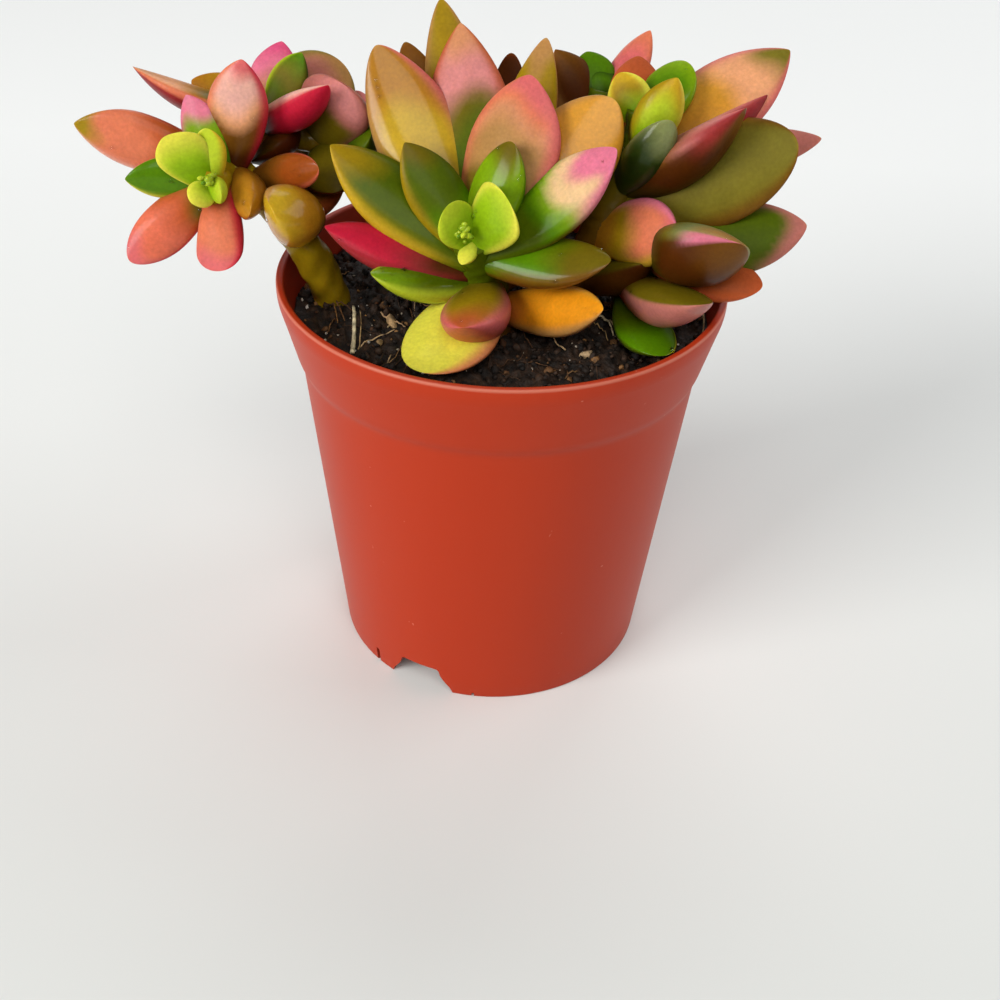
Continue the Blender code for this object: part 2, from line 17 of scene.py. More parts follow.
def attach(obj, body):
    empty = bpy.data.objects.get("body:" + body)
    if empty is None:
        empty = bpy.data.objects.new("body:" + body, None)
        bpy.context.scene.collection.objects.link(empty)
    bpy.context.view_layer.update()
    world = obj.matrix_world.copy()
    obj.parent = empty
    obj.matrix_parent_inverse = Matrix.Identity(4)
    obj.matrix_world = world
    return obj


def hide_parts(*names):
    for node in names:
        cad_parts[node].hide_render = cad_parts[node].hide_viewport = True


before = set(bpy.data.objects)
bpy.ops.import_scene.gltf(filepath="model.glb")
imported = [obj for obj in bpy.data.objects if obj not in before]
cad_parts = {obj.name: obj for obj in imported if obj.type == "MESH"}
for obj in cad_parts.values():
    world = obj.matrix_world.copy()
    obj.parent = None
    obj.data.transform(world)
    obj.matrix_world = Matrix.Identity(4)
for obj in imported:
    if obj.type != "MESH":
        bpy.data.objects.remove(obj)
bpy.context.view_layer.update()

MM = 0.001

# Camera
# It looks down on the pot from the front, as close as a phone is held, and leans a little to one side.
CAMERA_AIM = Vector((0.8, 0.0, 17.6))
CAMERA_DISTANCE = 180.2
CAMERA_ELEVATION = math.radians(36.8)
CAMERA_LEAN = math.radians(2.3)
CAMERA_LENS = 46.8
CAMERA_SENSOR = 36.0
CAMERA_NEAREST = 10.0

camera_back = Vector((0.0, -math.cos(CAMERA_ELEVATION), math.sin(CAMERA_ELEVATION)))
level_right = Vector((1.0, 0.0, 0.0))
level_up = camera_back.cross(level_right)
camera_right = math.cos(CAMERA_LEAN) * level_right + math.sin(CAMERA_LEAN) * level_up
camera_up = camera_back.cross(camera_right)
camera = bpy.data.objects.new("camera", bpy.data.cameras.new("camera"))
camera.data.sensor_width = CAMERA_SENSOR
camera.data.lens = CAMERA_LENS
camera.data.clip_start = CAMERA_NEAREST * MM
camera.matrix_world = Matrix.LocRotScale(
    (CAMERA_AIM + CAMERA_DISTANCE * camera_back) * MM,
    Matrix((camera_right, camera_up, camera_back)).transposed(),
    None,
)
bpy.context.scene.collection.objects.link(camera)
bpy.context.scene.camera = camera

# Floor and light
# A plain white table top in a pale room: a wide low window at the front left, a softer light from above
# the front, and what the back and right walls throw back. The table is matt, and its front is painted a
# little darker as painted shade.
FLOOR_SIZE = 4000.0
FLOOR_FAR = "#F6F8F8"
FLOOR_NEAR_WITH_PAINTED_SHADE = "#DBDEDC"
FLOOR_SHADE_FADE = (-60.0, 170.0)
ROOM_COLOUR = "#FFFFFF"
ROOM_STRENGTH = 0.12
LAMP_AIM = Vector((0.0, 0.0, 30.0))
LAMPS = (
    # name, place, size, power and colour
    ("window", (-785, -615, 465), 560, 10.4, "#FFFEFB"),
    ("front_ceiling", (60, -700, 840), 640, 5.1, "#FFFEFB"),
    ("back_wall", (90, 800, 750), 800, 3.9, "#FFFFFF"),
    ("right_wall", (980, 200, 460), 800, 4.3, "#FFFFFF"),
)


def linear(colour):
    """An sRGB hex value as linear red, green and blue."""
    shares = np.array([int(colour[i:i + 2], 16) for i in (1, 3, 5)]) / 255
    return np.where(shares <= 0.04045, shares / 12.92, ((shares + 0.055) / 1.055) ** 2.4)


def add_node(material, kind, links=None, **settings):
    """Add a node, set its properties and sockets by name, with a hex value for a colour, and link its
    named sockets to others."""
    node = material.node_tree.nodes.new(kind)
    for name, value in settings.items():
        if name in node.bl_rna.properties:
            setattr(node, name, value)
        else:
            if isinstance(value, str):
                value = (*linear(value), 1.0)
            node.inputs[name.replace("_", " ")].default_value = value
    for name, source in (links or {}).items():
        material.node_tree.links.new(source, node.inputs[name])
    return node


def new_material(name, **settings):
    """A material whose Principled shader has the settings, with _ for a space in a socket's name."""
    material = bpy.data.materials.new(name)
    material.use_nodes = True
    shader = material.node_tree.nodes["Principled BSDF"]
    for socket, value in settings.items():
        shader.inputs[socket.replace("_", " ")].default_value = value
    return material, shader


def feed(shader, **sources):
    """Link sources to a shader's sockets, with _ for a space in a socket's name."""
    for socket, source in sources.items():
        shader.id_data.links.new(source, shader.inputs[socket.replace("_", " ")])


def add_lamp(name, place, size, power, colour):
    """A square lamp at a place, turned to the plant."""
    lamp = bpy.data.lights.new(name, "AREA")
    lamp.size = size * MM
    lamp.energy = power
    lamp.color = linear(colour)
    thing = bpy.data.objects.new(name, lamp)
    thing.location = Vector(place) * MM
    thing.rotation_mode = "QUATERNION"
    thing.rotation_quaternion = (LAMP_AIM - Vector(place)).to_track_quat("-Z", "Y")
    bpy.context.scene.collection.objects.link(thing)


half = FLOOR_SIZE / 2 * MM
floor_mesh = bpy.data.meshes.new("floor")
floor_mesh.from_pydata(
    [(-half, -half, 0.0), (half, -half, 0.0), (half, half, 0.0), (-half, half, 0.0)], [], [(0, 1, 2, 3)]
)
table_top, table_shader = new_material("matt white table top", Roughness=0.9, Specular_IOR_Level=0.1)
table_place = add_node(table_top, "ShaderNodeTexCoord").outputs["Object"]
table_axes = add_node(table_top, "ShaderNodeSeparateXYZ", {"Vector": table_place})
# Painted shade: the table's colour is mixed darker towards the front, where less light reaches it.
table_painted_shade = add_node(
    table_top, "ShaderNodeMapRange", {"Value": table_axes.outputs["Y"]},
    From_Min=FLOOR_SHADE_FADE[0] * MM, From_Max=FLOOR_SHADE_FADE[1] * MM,
)
table_colour_with_shade = add_node(
    table_top, "ShaderNodeMix", {"Factor": table_painted_shade.outputs["Result"]},
    data_type="RGBA", A=FLOOR_NEAR_WITH_PAINTED_SHADE, B=FLOOR_FAR,
)
feed(table_shader, Base_Color=table_colour_with_shade.outputs["Result"])
floor_mesh.materials.append(table_top)
floor = bpy.data.objects.new("floor", floor_mesh)
bpy.context.scene.collection.objects.link(floor)

room = bpy.data.worlds.new("room")
room.use_nodes = True
room.node_tree.nodes["Background"].inputs["Color"].default_value = (*linear(ROOM_COLOUR), 1.0)
room.node_tree.nodes["Background"].inputs["Strength"].default_value = ROOM_STRENGTH
bpy.context.scene.world = room
for lamp_row in LAMPS:
    add_lamp(*lamp_row)
bpy.context.scene.view_settings.view_transform = "Standard"

# Pot
# An injection-moulded nursery pot of thin terracotta polypropylene, 55 mm across its lip. The lip and
# the collar stiffen it. Two notches in the foot, with a slit on either side of each, let water out from
# under the raised floor.
POT_SIDES = 256
POT_OUTLINE = (
    # radius, height and corner radius, from the middle of the underside over the lip to the inner floor
    (0.0, 0.0, 0.0),
    (11.8, 0.0, 0.4),
    (13.8, 4.5, 0.4),
    (19.9, 4.5, 0.3),
    (19.9, 0.0, 0.3),
    (20.7, 0.0, 0.3),
    (24.95, 42.3, 0.6),
    (25.5, 43.3, 0.6),
    (26.95, 49.0, 1.3),
    (27.5, 51.0, 0.8),
    (27.5, 52.6, 0.3),
    (26.6, 52.6, 0.35),
    (26.2, 50.2, 0.4),
    (25.1, 43.2, 0.8),
    (24.2, 42.1, 0.8),
    (20.45, 5.4, 0.6),
    (13.0, 5.4, 0.5),
    (11.0, 0.9, 0.5),
    (0.0, 0.9, 0.0),
)
NOTCH_TURNS = (244.5, 64.5)
FOOT_CUTS = (
    # turn from the notch's middle, then width, height, corner radius and flare
    (0.0, (5.8, 4.1, 0.6, 1.7)),
    (-20.5, (0.6, 2.4, 0.1, 0.0)),
    (20.5, (0.35, 0.7, 0.1, 0.0)),
)
FOOT_CUT_RADII = (17.4, 22.6)
DRAIN_HOLES = 6
DRAIN_CIRCLE_RADIUS = 16.0
DRAIN_HOLE_RADIUS = 1.8
DRAIN_CUT_HEIGHTS = (2.0, 8.0)
DRAIN_SIDES = 32
TERRACOTTA = "#A62E10"
TERRACOTTA_PALE = "#B03616"
POT_DUST_AND_HIGHLIGHT = "#E7A890"
STREAK_SIZE = 16.7
STREAK_STRETCH = 0.15
DUST_SIZE = 1.11
DUST_RANGE = (0.79, 0.85)
DUST_SHARE = 0.5
# Painted highlight: where the pale ring on the lip's outer edge lies, and how strongly it is painted.
RIM_HIGHLIGHT_RADII = (27.25, 27.4)
RIM_HIGHLIGHT_HEIGHTS = (52.15, 52.4)
RIM_HIGHLIGHT_SHARE = 0.3
ORANGE_PEEL_SIZE = 0.556
ORANGE_PEEL_DEPTH = 0.05


def make_piece(name, points, faces, material, colours=None, wetness=None):
    """A smooth-shaded object from points in millimetres, with its place in its mesh."""
    mesh = bpy.data.meshes.new(name)
    mesh.from_pydata((np.asarray(points) * MM).tolist(), [], faces)
    mesh.materials.append(material)
    mesh.shade_smooth()
    if colours is not None:
        attribute = mesh.color_attributes.new("tint", "FLOAT_COLOR", "POINT")
        with_alpha = np.column_stack((colours, np.ones(len(colours))))
        attribute.data.foreach_set("color", with_alpha.astype(np.float32).ravel())
    if wetness is not None:
        attribute = mesh.attributes.new("wetness", "FLOAT", "POINT")
        attribute.data.foreach_set("value", np.asarray(wetness, np.float32))
    piece = bpy.data.objects.new(name, mesh)
    bpy.context.scene.collection.objects.link(piece)
    return piece


def unit(vectors):
    """Vectors scaled to a length of 1."""
    return vectors / np.linalg.norm(vectors, axis=-1, keepdims=True)


def rounded_outline(outline, steps=5, spacing=2.5):
    """Each corner becomes a quadratic curve that starts and ends its own radius away along both sides.
    Straight runs are split at an even spacing."""
    outline = np.array(outline)
    points = [outline[:1, :2]]
    for before, corner, after in zip(outline[:-2], outline[1:-1], outline[2:]):
        start = corner[:2] + corner[2] * unit(before[:2] - corner[:2])
        end = corner[:2] + corner[2] * unit(after[:2] - corner[:2])
        t = np.linspace(0.0, 1.0, steps)[:, None]
        points.append((1 - t) ** 2 * start + 2 * t * (1 - t) * corner[:2] + t ** 2 * end)
    points.append(outline[-1:, :2])
    line = np.concatenate(points)
    lengths = np.linalg.norm(np.diff(line, axis=0), axis=1)
    counts = np.maximum(1, np.ceil(lengths / spacing)).astype(int)
    stations = [np.arange(count) / count + index for index, count in enumerate(counts)]
    places = np.append(np.concatenate(stations), len(line) - 1.0)
    return np.column_stack([np.interp(places, np.arange(len(line)), line[:, axis]) for axis in (0, 1)])


def closed_grid_faces(rings, sides, first=0):
    """Faces of a closed surface: a pole, rings of points that each close on themselves, and a pole.
    The poles are the last two points."""
    ring, side = np.meshgrid(np.arange(rings - 1), np.arange(sides), indexing="ij")
    after = (side + 1) % sides
    near = ring * sides
    far = near + sides
    quads = np.stack((near + side, near + after, far + after, far + side), -1).reshape(-1, 4) + first
    around = np.arange(sides)
    around_after = (around + 1) % sides
    start_pole = np.full(sides, rings * sides)
    end_pole = start_pole + 1
    last = (rings - 1) * sides
    start_fan = np.stack((start_pole, around_after, around), -1) + first
    end_fan = np.stack((end_pole, last + around, last + around_after), -1) + first
    return quads.tolist() + start_fan.tolist() + end_fan.tolist()


def turned_points(line, sides):
    """A line of radius and height, whose ends lie on the axis, turned about Z."""
    turn = np.arange(sides) / sides * math.tau
    inner = line[1:-1]
    rings = np.stack(
        (inner[:, :1] * np.cos(turn), inner[:, :1] * np.sin(turn), np.repeat(inner[:, 1:], sides, 1)), -1
    )
    poles = np.array([(0.0, 0.0, line[0, 1]), (0.0, 0.0, line[-1, 1])])
    return np.concatenate((rings.reshape(-1, 3), poles))


def prism(outline, radius_range, turn):
    """A flat outline of sideways and upward places, carried outwards between two radii at a turn."""
    outline = np.array(outline)
    count = len(outline)
    near, far = radius_range
    out = np.array((math.cos(turn), math.sin(turn), 0.0))
    aside = np.array((-math.sin(turn), math.cos(turn), 0.0))
    flat = outline[:, :1] * aside + outline[:, 1:] * np.array((0.0, 0.0, 1.0))
    points = np.concatenate((flat + near * out, flat + far * out))
    walls = [(i, (i + 1) % count, count + (i + 1) % count, count + i) for i in range(count)]
    return points, [tuple(range(count))[::-1], tuple(range(count, 2 * count)), *walls]


def doorway(width, height, corner, flare):
    """An outline that is open below the foot. Its two sides widen downwards by a flare in an S-curve, and
    its two upper corners are rounded."""
    arc = np.linspace(0.0, math.pi / 2, 6)
    t = np.linspace(0.0, 1.0, 7)[:-1]
    right = np.concatenate((
        ((width / 2 + flare, -1.0),),
        np.column_stack((width / 2 + flare * (1 - t * t * (3 - 2 * t)), (height - corner) * t)),
        np.column_stack((width / 2 - corner + corner * np.cos(arc), height - corner + corner * np.sin(arc))),
    ))
    return np.concatenate((right, right[::-1] * (-1, 1)))


def cut_holes(piece, cutters):
    """Cut the piece by each closed cutter, apply the cut and remove the cutters."""
    for points, faces in cutters:
        cutter = make_piece("cutter", points, faces, piece.data.materials[0])
        modifier = piece.modifiers.new("cut", "BOOLEAN")
        modifier.object = cutter
        modifier.solver = "EXACT"
        bpy.context.view_layer.update()
        graph = bpy.context.evaluated_depsgraph_get()
        cut_mesh = bpy.data.meshes.new_from_object(piece.evaluated_get(graph), depsgraph=graph)
        piece.modifiers.clear()
        piece.data = cut_mesh
        bpy.data.objects.remove(cutter)


# Moulded polypropylene is a little waxy: its gloss is soft, light sinks into it slightly, and a fine
# orange-peel grain breaks up its reflections. Dust and scuffs show on it as pale specks, and a pale
# ring is painted all round the lip's rounded outer edge as a painted highlight.
pot_plastic, pot_shader = new_material(
    "terracotta polypropylene, moulded", Roughness=0.42, IOR=1.49, Specular_IOR_Level=0.17,
    Subsurface_Weight=0.08, Subsurface_Radius=(1.0, 0.3, 0.15), Subsurface_Scale=0.8 * MM,
)
pot_place = add_node(pot_plastic, "ShaderNodeTexCoord").outputs["Object"]
streak_place = add_node(
    pot_plastic, "ShaderNodeMapping", {"Vector": pot_place}, Scale=(1.0, 1.0, STREAK_STRETCH)
)
streaks = add_node(
    pot_plastic, "ShaderNodeTexNoise", {"Vector": streak_place.outputs["Vector"]},
    Scale=1 / (STREAK_SIZE * MM), Detail=3.0,
)
pot_colour = add_node(
    pot_plastic, "ShaderNodeMix", {"Factor": streaks.outputs["Fac"]},
    data_type="RGBA", A=TERRACOTTA, B=TERRACOTTA_PALE,
)
dust = add_node(
    pot_plastic, "ShaderNodeTexNoise", {"Vector": pot_place}, Scale=1 / (DUST_SIZE * MM), Detail=1.0
)
dust_share = add_node(
    pot_plastic, "ShaderNodeMapRange", {"Value": dust.outputs["Fac"]},
    From_Min=DUST_RANGE[0], From_Max=DUST_RANGE[1], To_Max=DUST_SHARE,
)
dusty_colour = add_node(
    pot_plastic, "ShaderNodeMix",
    {"Factor": dust_share.outputs["Result"], "A": pot_colour.outputs["Result"]}, data_type="RGBA", B=POT_DUST_AND_HIGHLIGHT,
)
pot_axes = add_node(pot_plastic, "ShaderNodeSeparateXYZ", {"Vector": pot_place})
flat_place = add_node(
    pot_plastic, "ShaderNodeCombineXYZ", {"X": pot_axes.outputs["X"], "Y": pot_axes.outputs["Y"]}
)
pot_radius = add_node(
    pot_plastic, "ShaderNodeVectorMath", {0: flat_place.outputs["Vector"]}, operation="LENGTH"
)
# Painted highlight: the pale dust colour is also painted as a thin ring on the lip's outer edge.
rim_highlight_out = add_node(
    pot_plastic, "ShaderNodeMapRange", {"Value": pot_radius.outputs["Value"]},
    From_Min=RIM_HIGHLIGHT_RADII[0] * MM, From_Max=RIM_HIGHLIGHT_RADII[1] * MM,
)
rim_highlight_up = add_node(
    pot_plastic, "ShaderNodeMapRange", {"Value": pot_axes.outputs["Z"]},
    From_Min=RIM_HIGHLIGHT_HEIGHTS[0] * MM, From_Max=RIM_HIGHLIGHT_HEIGHTS[1] * MM, To_Max=RIM_HIGHLIGHT_SHARE,
)
rim_painted_highlight = add_node(
    pot_plastic, "ShaderNodeMath", {0: rim_highlight_out.outputs["Result"], 1: rim_highlight_up.outputs["Result"]},
    operation="MULTIPLY",
)
colour_with_rim_highlight = add_node(
    pot_plastic, "ShaderNodeMix",
    {"Factor": rim_painted_highlight.outputs["Value"], "A": dusty_colour.outputs["Result"]}, data_type="RGBA", B=POT_DUST_AND_HIGHLIGHT,
)
orange_peel = add_node(
    pot_plastic, "ShaderNodeTexNoise", {"Vector": pot_place}, Scale=1 / (ORANGE_PEEL_SIZE * MM), Detail=2.0
)
pot_bump = add_node(
    pot_plastic, "ShaderNodeBump", {"Height": orange_peel.outputs["Fac"]},
    Strength=0.12, Distance=ORANGE_PEEL_DEPTH * MM,
)
feed(pot_shader, Base_Color=colour_with_rim_highlight.outputs["Result"], Normal=pot_bump.outputs["Normal"])

pot_line = rounded_outline(POT_OUTLINE)
pot_faces = closed_grid_faces(len(pot_line) - 2, POT_SIDES)
pot = make_piece("nursery_pot", turned_points(pot_line, POT_SIDES), pot_faces, pot_plastic)
pot_cuts = []
for notch_turn in NOTCH_TURNS:
    for offset, size in FOOT_CUTS:
        pot_cuts.append(prism(doorway(*size), FOOT_CUT_RADII, math.radians(notch_turn + offset)))
hole_low, hole_high = DRAIN_CUT_HEIGHTS
hole_line = np.array(
    ((0.0, hole_low), (DRAIN_HOLE_RADIUS, hole_low), (DRAIN_HOLE_RADIUS, hole_high), (0.0, hole_high))
)
for drain in range(DRAIN_HOLES):
    drain_turn = math.tau * drain / DRAIN_HOLES
    hole_middle = DRAIN_CIRCLE_RADIUS * np.array((math.cos(drain_turn), math.sin(drain_turn), 0.0))
    pot_cuts.append((turned_points(hole_line, DRAIN_SIDES) + hole_middle, closed_grid_faces(2, DRAIN_SIDES)))
cut_holes(pot, pot_cuts)
pot.data.set_sharp_from_angle(angle=math.radians(40))
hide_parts("pot")
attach(pot, "root")

# Soil
# A dark, damp peat mix, filled to a few millimetres below the rim. Its surface is a low mound in lumps,
# with crumbs of peat and bark, pale grit, straw and dry root threads lying on it.
SOIL_LEVEL = 47.3
SOIL_MOUND = 0.9
SOIL_LUMP = 0.45
MOUND_RADIUS = 27.5
SOIL_EDGE_RADIUS = 25.6
SOIL_SIDES = 300
SOIL_TOP_RINGS = 90
SOIL_SIDE = (
    # radius and height, from the middle of the underside up the pot's inner wall
    (0.0, 1.2), (10.4, 1.2), (12.7, 5.7), (20.1, 5.7), (23.8, 41.4), (24.9, 42.9), (25.4, 46.0),
)
SOIL_BLACK = "#17100B"
PEAT_BROWN = "#3A2718"
PEAT_GRAIN_SIZE = 0.714
PEAT_GRAIN_DEPTH = 0.4


def wave_noise(x, y, size, seed, waves=14):
    """Gentle lumps about a size across: plane waves in seeded directions, summed, between about -1 and 1."""
    draw = np.random.default_rng(seed)
    turns = draw.uniform(0.0, math.tau, waves)
    rates = math.tau / size * draw.uniform(0.6, 1.5, waves)
    phases = draw.uniform(0.0, math.tau, waves)
    places = x[..., None] * np.cos(turns) + y[..., None] * np.sin(turns)
    return np.sin(rates * places + phases).sum(-1) / math.sqrt(waves)


def soil_height(x, y):
    """The packed soil's mound and crossing waves, with finer crumbly lumps over them."""
    mound = SOIL_MOUND * np.maximum(0.0, 1.0 - (np.hypot(x, y) / MOUND_RADIUS) ** 2)
    waves = np.sin(0.55 * x + 1.3) * np.cos(0.48 * y - 0.4) + 0.6 * np.sin(0.9 * x - 0.7 * y)
    crumbs = 0.22 * wave_noise(x, y, 2.2, 3) + 0.14 * wave_noise(x, y, 1.0, 4)
    return SOIL_LEVEL + mound + SOIL_LUMP * waves + crumbs


# Damp peat is nearly black and dull, and its grain breaks what little gloss it has into small glints.
peat, peat_shader = new_material("damp peat mix", Roughness=0.7, Specular_IOR_Level=0.35)
peat_place = add_node(peat, "ShaderNodeTexCoord").outputs["Object"]
peat_grain = add_node(
    peat, "ShaderNodeTexNoise", {"Vector": peat_place}, Scale=1 / (PEAT_GRAIN_SIZE * MM), Detail=4.0
)
peat_tint = add_node(peat, "ShaderNodeAttribute", attribute_name="tint")
peat_light = add_node(
    peat, "ShaderNodeMapRange", {"Value": peat_grain.outputs["Fac"]},
    From_Min=0.3, From_Max=0.75, To_Min=0.35, To_Max=1.7,
)
peat_colour = add_node(
    peat, "ShaderNodeVectorMath", {0: peat_tint.outputs["Color"], "Scale": peat_light.outputs["Result"]},
    operation="SCALE",
)
peat_bump = add_node(
    peat, "ShaderNodeBump", {"Height": peat_grain.outputs["Fac"]},
    Strength=0.9, Distance=PEAT_GRAIN_DEPTH * MM,
)
feed(peat_shader, Base_Color=peat_colour.outputs["Vector"], Normal=peat_bump.outputs["Normal"])

soil_top_radii = np.linspace(SOIL_EDGE_RADIUS, 0.0, SOIL_TOP_RINGS)
soil_top = np.column_stack((soil_top_radii, np.full(SOIL_TOP_RINGS, SOIL_LEVEL)))
soil_points = turned_points(np.concatenate((SOIL_SIDE, soil_top)), SOIL_SIDES)
on_top = soil_points[:, 2] > SOIL_LEVEL - 0.1
soil_points[on_top, 2] = soil_height(soil_points[on_top, 0], soil_points[on_top, 1])
soil_rings = len(SOIL_SIDE) + len(soil_top) - 2
brown_patches = wave_noise(soil_points[:, 0], soil_points[:, 1], 3.0, 5)
brown_share = np.clip(0.3 + 0.4 * brown_patches, 0.0, 1.0)[:, None]
soil_tints = (1 - brown_share) * linear(SOIL_BLACK) + brown_share * linear(PEAT_BROWN)
soil = make_piece("peat_soil", soil_points, closed_grid_faces(soil_rings, SOIL_SIDES), peat, soil_tints)
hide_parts("soil")
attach(soil, "root")

# Crumbs on the soil
# Broken peat, bark and pale grit, from dust to pieces about 1.5 mm across. Each is a dented ball of 80
# faces, stretched and turned by a seeded draw, and a good third of it is sunk in the surface.
CRUMB_KINDS = (
    # name, count, smallest and largest radius, first and second colour
    ("peat_crumbs", 1400, 0.18, 0.7, "#120C08", "#3B281A"),
    ("bark_crumbs", 260, 0.13, 0.5, "#4A2E18", "#8A6238"),
    ("pale_grit", 200, 0.07, 0.24, "#A89A86", "#E4DED2"),
)
CRUMB_MARGIN = 0.6
CRUMB_STRETCH = (0.55, 1.3)
CRUMB_DENT = 0.22
CRUMB_LIFT = 0.25
MOSTLY_SMALL = 2.5
MOSTLY_DARK = 1.5


def ball():
    """The 42 points and 80 faces of a ball of radius 1, from a twice-divided icosahedron."""
    mesh = bpy.data.meshes.new("ball")
    form = bmesh.new()
    bmesh.ops.create_icosphere(form, subdivisions=2, radius=1.0)
    form.to_mesh(mesh)
    form.free()
    points = np.array([vertex.co for vertex in mesh.vertices])
    faces = np.array([face.vertices for face in mesh.polygons])
    bpy.data.meshes.remove(mesh)
    return points, faces


def turned_axes(draw, count):
    """A seeded turn for each of a count of pieces, as rows of three unit axes."""
    first = unit(draw.normal(size=(count, 3)))
    second = unit(np.cross(first, draw.normal(size=(count, 3))))
    return np.stack((first, second, np.cross(first, second)), 1)


ball_points, ball_faces = ball()


def faces_of_balls(count):
    """The faces of a count of balls whose points follow one another."""
    starts = np.arange(count)[:, None, None] * len(ball_points)
    return (ball_faces + starts).reshape(-1, 3).tolist()


for crumb_seed, (crumb_name, crumb_count, smallest, largest, dark, light) in enumerate(CRUMB_KINDS):
    draw = np.random.default_rng(20 + crumb_seed)
    distance = (SOIL_EDGE_RADIUS - CRUMB_MARGIN) * np.sqrt(draw.uniform(0.0, 1.0, crumb_count))
    angle = draw.uniform(0.0, math.tau, crumb_count)
    size = smallest + (largest - smallest) * draw.uniform(0.0, 1.0, crumb_count) ** MOSTLY_SMALL
    stretch = draw.uniform(*CRUMB_STRETCH, (crumb_count, 1, 3))
    dents = 1.0 + draw.uniform(-CRUMB_DENT, CRUMB_DENT, (crumb_count, len(ball_points), 1))
    shapes = (ball_points * dents * stretch) @ turned_axes(draw, crumb_count)
    across = distance * np.cos(angle)
    along = distance * np.sin(angle)
    middles = np.column_stack((across, along, soil_height(across, along) + CRUMB_LIFT * size))
    crumb_points = shapes * size[:, None, None] + middles[:, None, :]
    shade = draw.uniform(0.0, 1.0, (crumb_count, 1)) ** MOSTLY_DARK
    crumb_tints = np.repeat((1 - shade) * linear(dark) + shade * linear(light), len(ball_points), 0)
    crumbs = make_piece(
        crumb_name, crumb_points.reshape(-1, 3), faces_of_balls(crumb_count), peat, crumb_tints
    )
    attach(crumbs, "root")

# Straw and root threads
# Dry stalks and hair roots of the peat mix lie loose on it: a pale straw at the left, brown fibres behind
# it, a tuft and a twig at the right. The finest are drawn a little thicker than life so that they show.
THREAD_SIDES = 6
THREAD_COUNT = 70
THREAD_SPREAD = 21.5
THREAD_LENGTHS = (2.0, 6.0)
THREAD_RADII = (0.05, 0.11)
THREAD_COLOURS = ("#5A3C22", "#8E6B44", "#B99A70", "#3C2817")
THREAD_TAPER = 0.6
THREAD_BEND = 0.5
THREAD_LIFT = 0.15
THREAD_TILT = 0.5
STALK_BEND = 0.25
OFF_EVERY_LINE = (0.31, 0.17, 0.93)  # a direction that no thread or stem takes
STALKS = (
    # two ends on the soil, height of its middle, radius and colour
    ((-17.2, -12.5), (-18.3, -1.6), 0.5, 0.30, "#DACBA4"),
    ((-16.6, -11.5), (-17.2, -4.0), 0.3, 0.09, "#A98A5C"),
    ((-22.3, 1.5), (-18.9, -5.4), 0.6, 0.13, "#6E4B2A"),
    ((-21.5, 0.2), (-19.5, -7.0), 0.4, 0.10, "#8A6238"),
    ((-22.8, -1.0), (-17.8, -3.6), 0.9, 0.11, "#5C3D22"),
    ((-20.4, -2.8), (-20.8, -8.2), 0.4, 0.10, "#7A5530"),
    ((-14.6, -4.2), (-11.4, -7.0), 0.5, 0.12, "#B4926A"),
    ((-13.6, -6.6), (-12.6, -3.2), 0.4, 0.10, "#C2A67C"),
    ((11.9, -2.8), (13.7, -6.3), 0.7, 0.16, "#D2C09A"),
    ((12.3, -3.2), (14.2, -5.4), 0.5, 0.10, "#BFA67A"),
    ((11.4, -3.9), (13.0, -7.1), 0.3, 0.09, "#A98A5C"),
    ((12.6, -0.2), (14.8, -1.9), 0.3, 0.38, "#5A3A20"),
    ((24.4, -1.2), (24.7, -4.6), 1.4, 0.14, "#C9B48A"),
)
SCRAP_DENT = 0.15
SCRAP_LIFT = 0.4
SCRAPS = (
    # place on the soil, half its length, breadth and height, and colour
    (-13.1, -5.3, 1.3, 0.9, 0.6, "#B39267"),
    (-14.1, -11.1, 0.8, 0.45, 0.35, "#A6865C"),
    (10.2, -11.5, 1.0, 0.8, 0.6, "#A88E6A"),
    (-24.0, -1.4, 0.35, 0.3, 0.25, "#E6E0D4"),
    (2.5, -19.4, 0.4, 0.3, 0.25, "#D8CFC0"),
    (17.6, -8.8, 0.45, 0.35, 0.3, "#8A6A44"),
)


def tube_points(line, radius, sides):
    """A round skin about a line of points: two axes square to it turn about it, and its ends close.
    The radius has a row for each point, of one value or one for each side."""
    ahead = unit(np.gradient(line, axis=0))
    aside = unit(np.cross(ahead, OFF_EVERY_LINE))
    above = np.cross(ahead, aside)
    turn = (np.arange(sides) / sides * math.tau)[:, None]
    ring = aside[:, None] * np.cos(turn) + above[:, None] * np.sin(turn)
    skin = line[:, None] + ring * radius[..., None]
    return np.concatenate((skin.reshape(-1, 3), line[:1], line[-1:]))


def make_threads(name, lines, radii, tints):
    """Several tubes in one piece, each with its own radius and colour."""
    points = []
    faces = []
    colours = []
    count = 0
    for line, radius, tint in zip(lines, radii, tints):
        skin = tube_points(line, radius * np.linspace(1.0, THREAD_TAPER, len(line))[:, None], THREAD_SIDES)
        points.append(skin)
        faces += closed_grid_faces(len(line), THREAD_SIDES, count)
        colours.append(np.repeat(linear(tint)[None], len(skin), 0))
        count += len(skin)
    threads = make_piece(name, np.concatenate(points), faces, peat, np.concatenate(colours))
    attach(threads, "root")


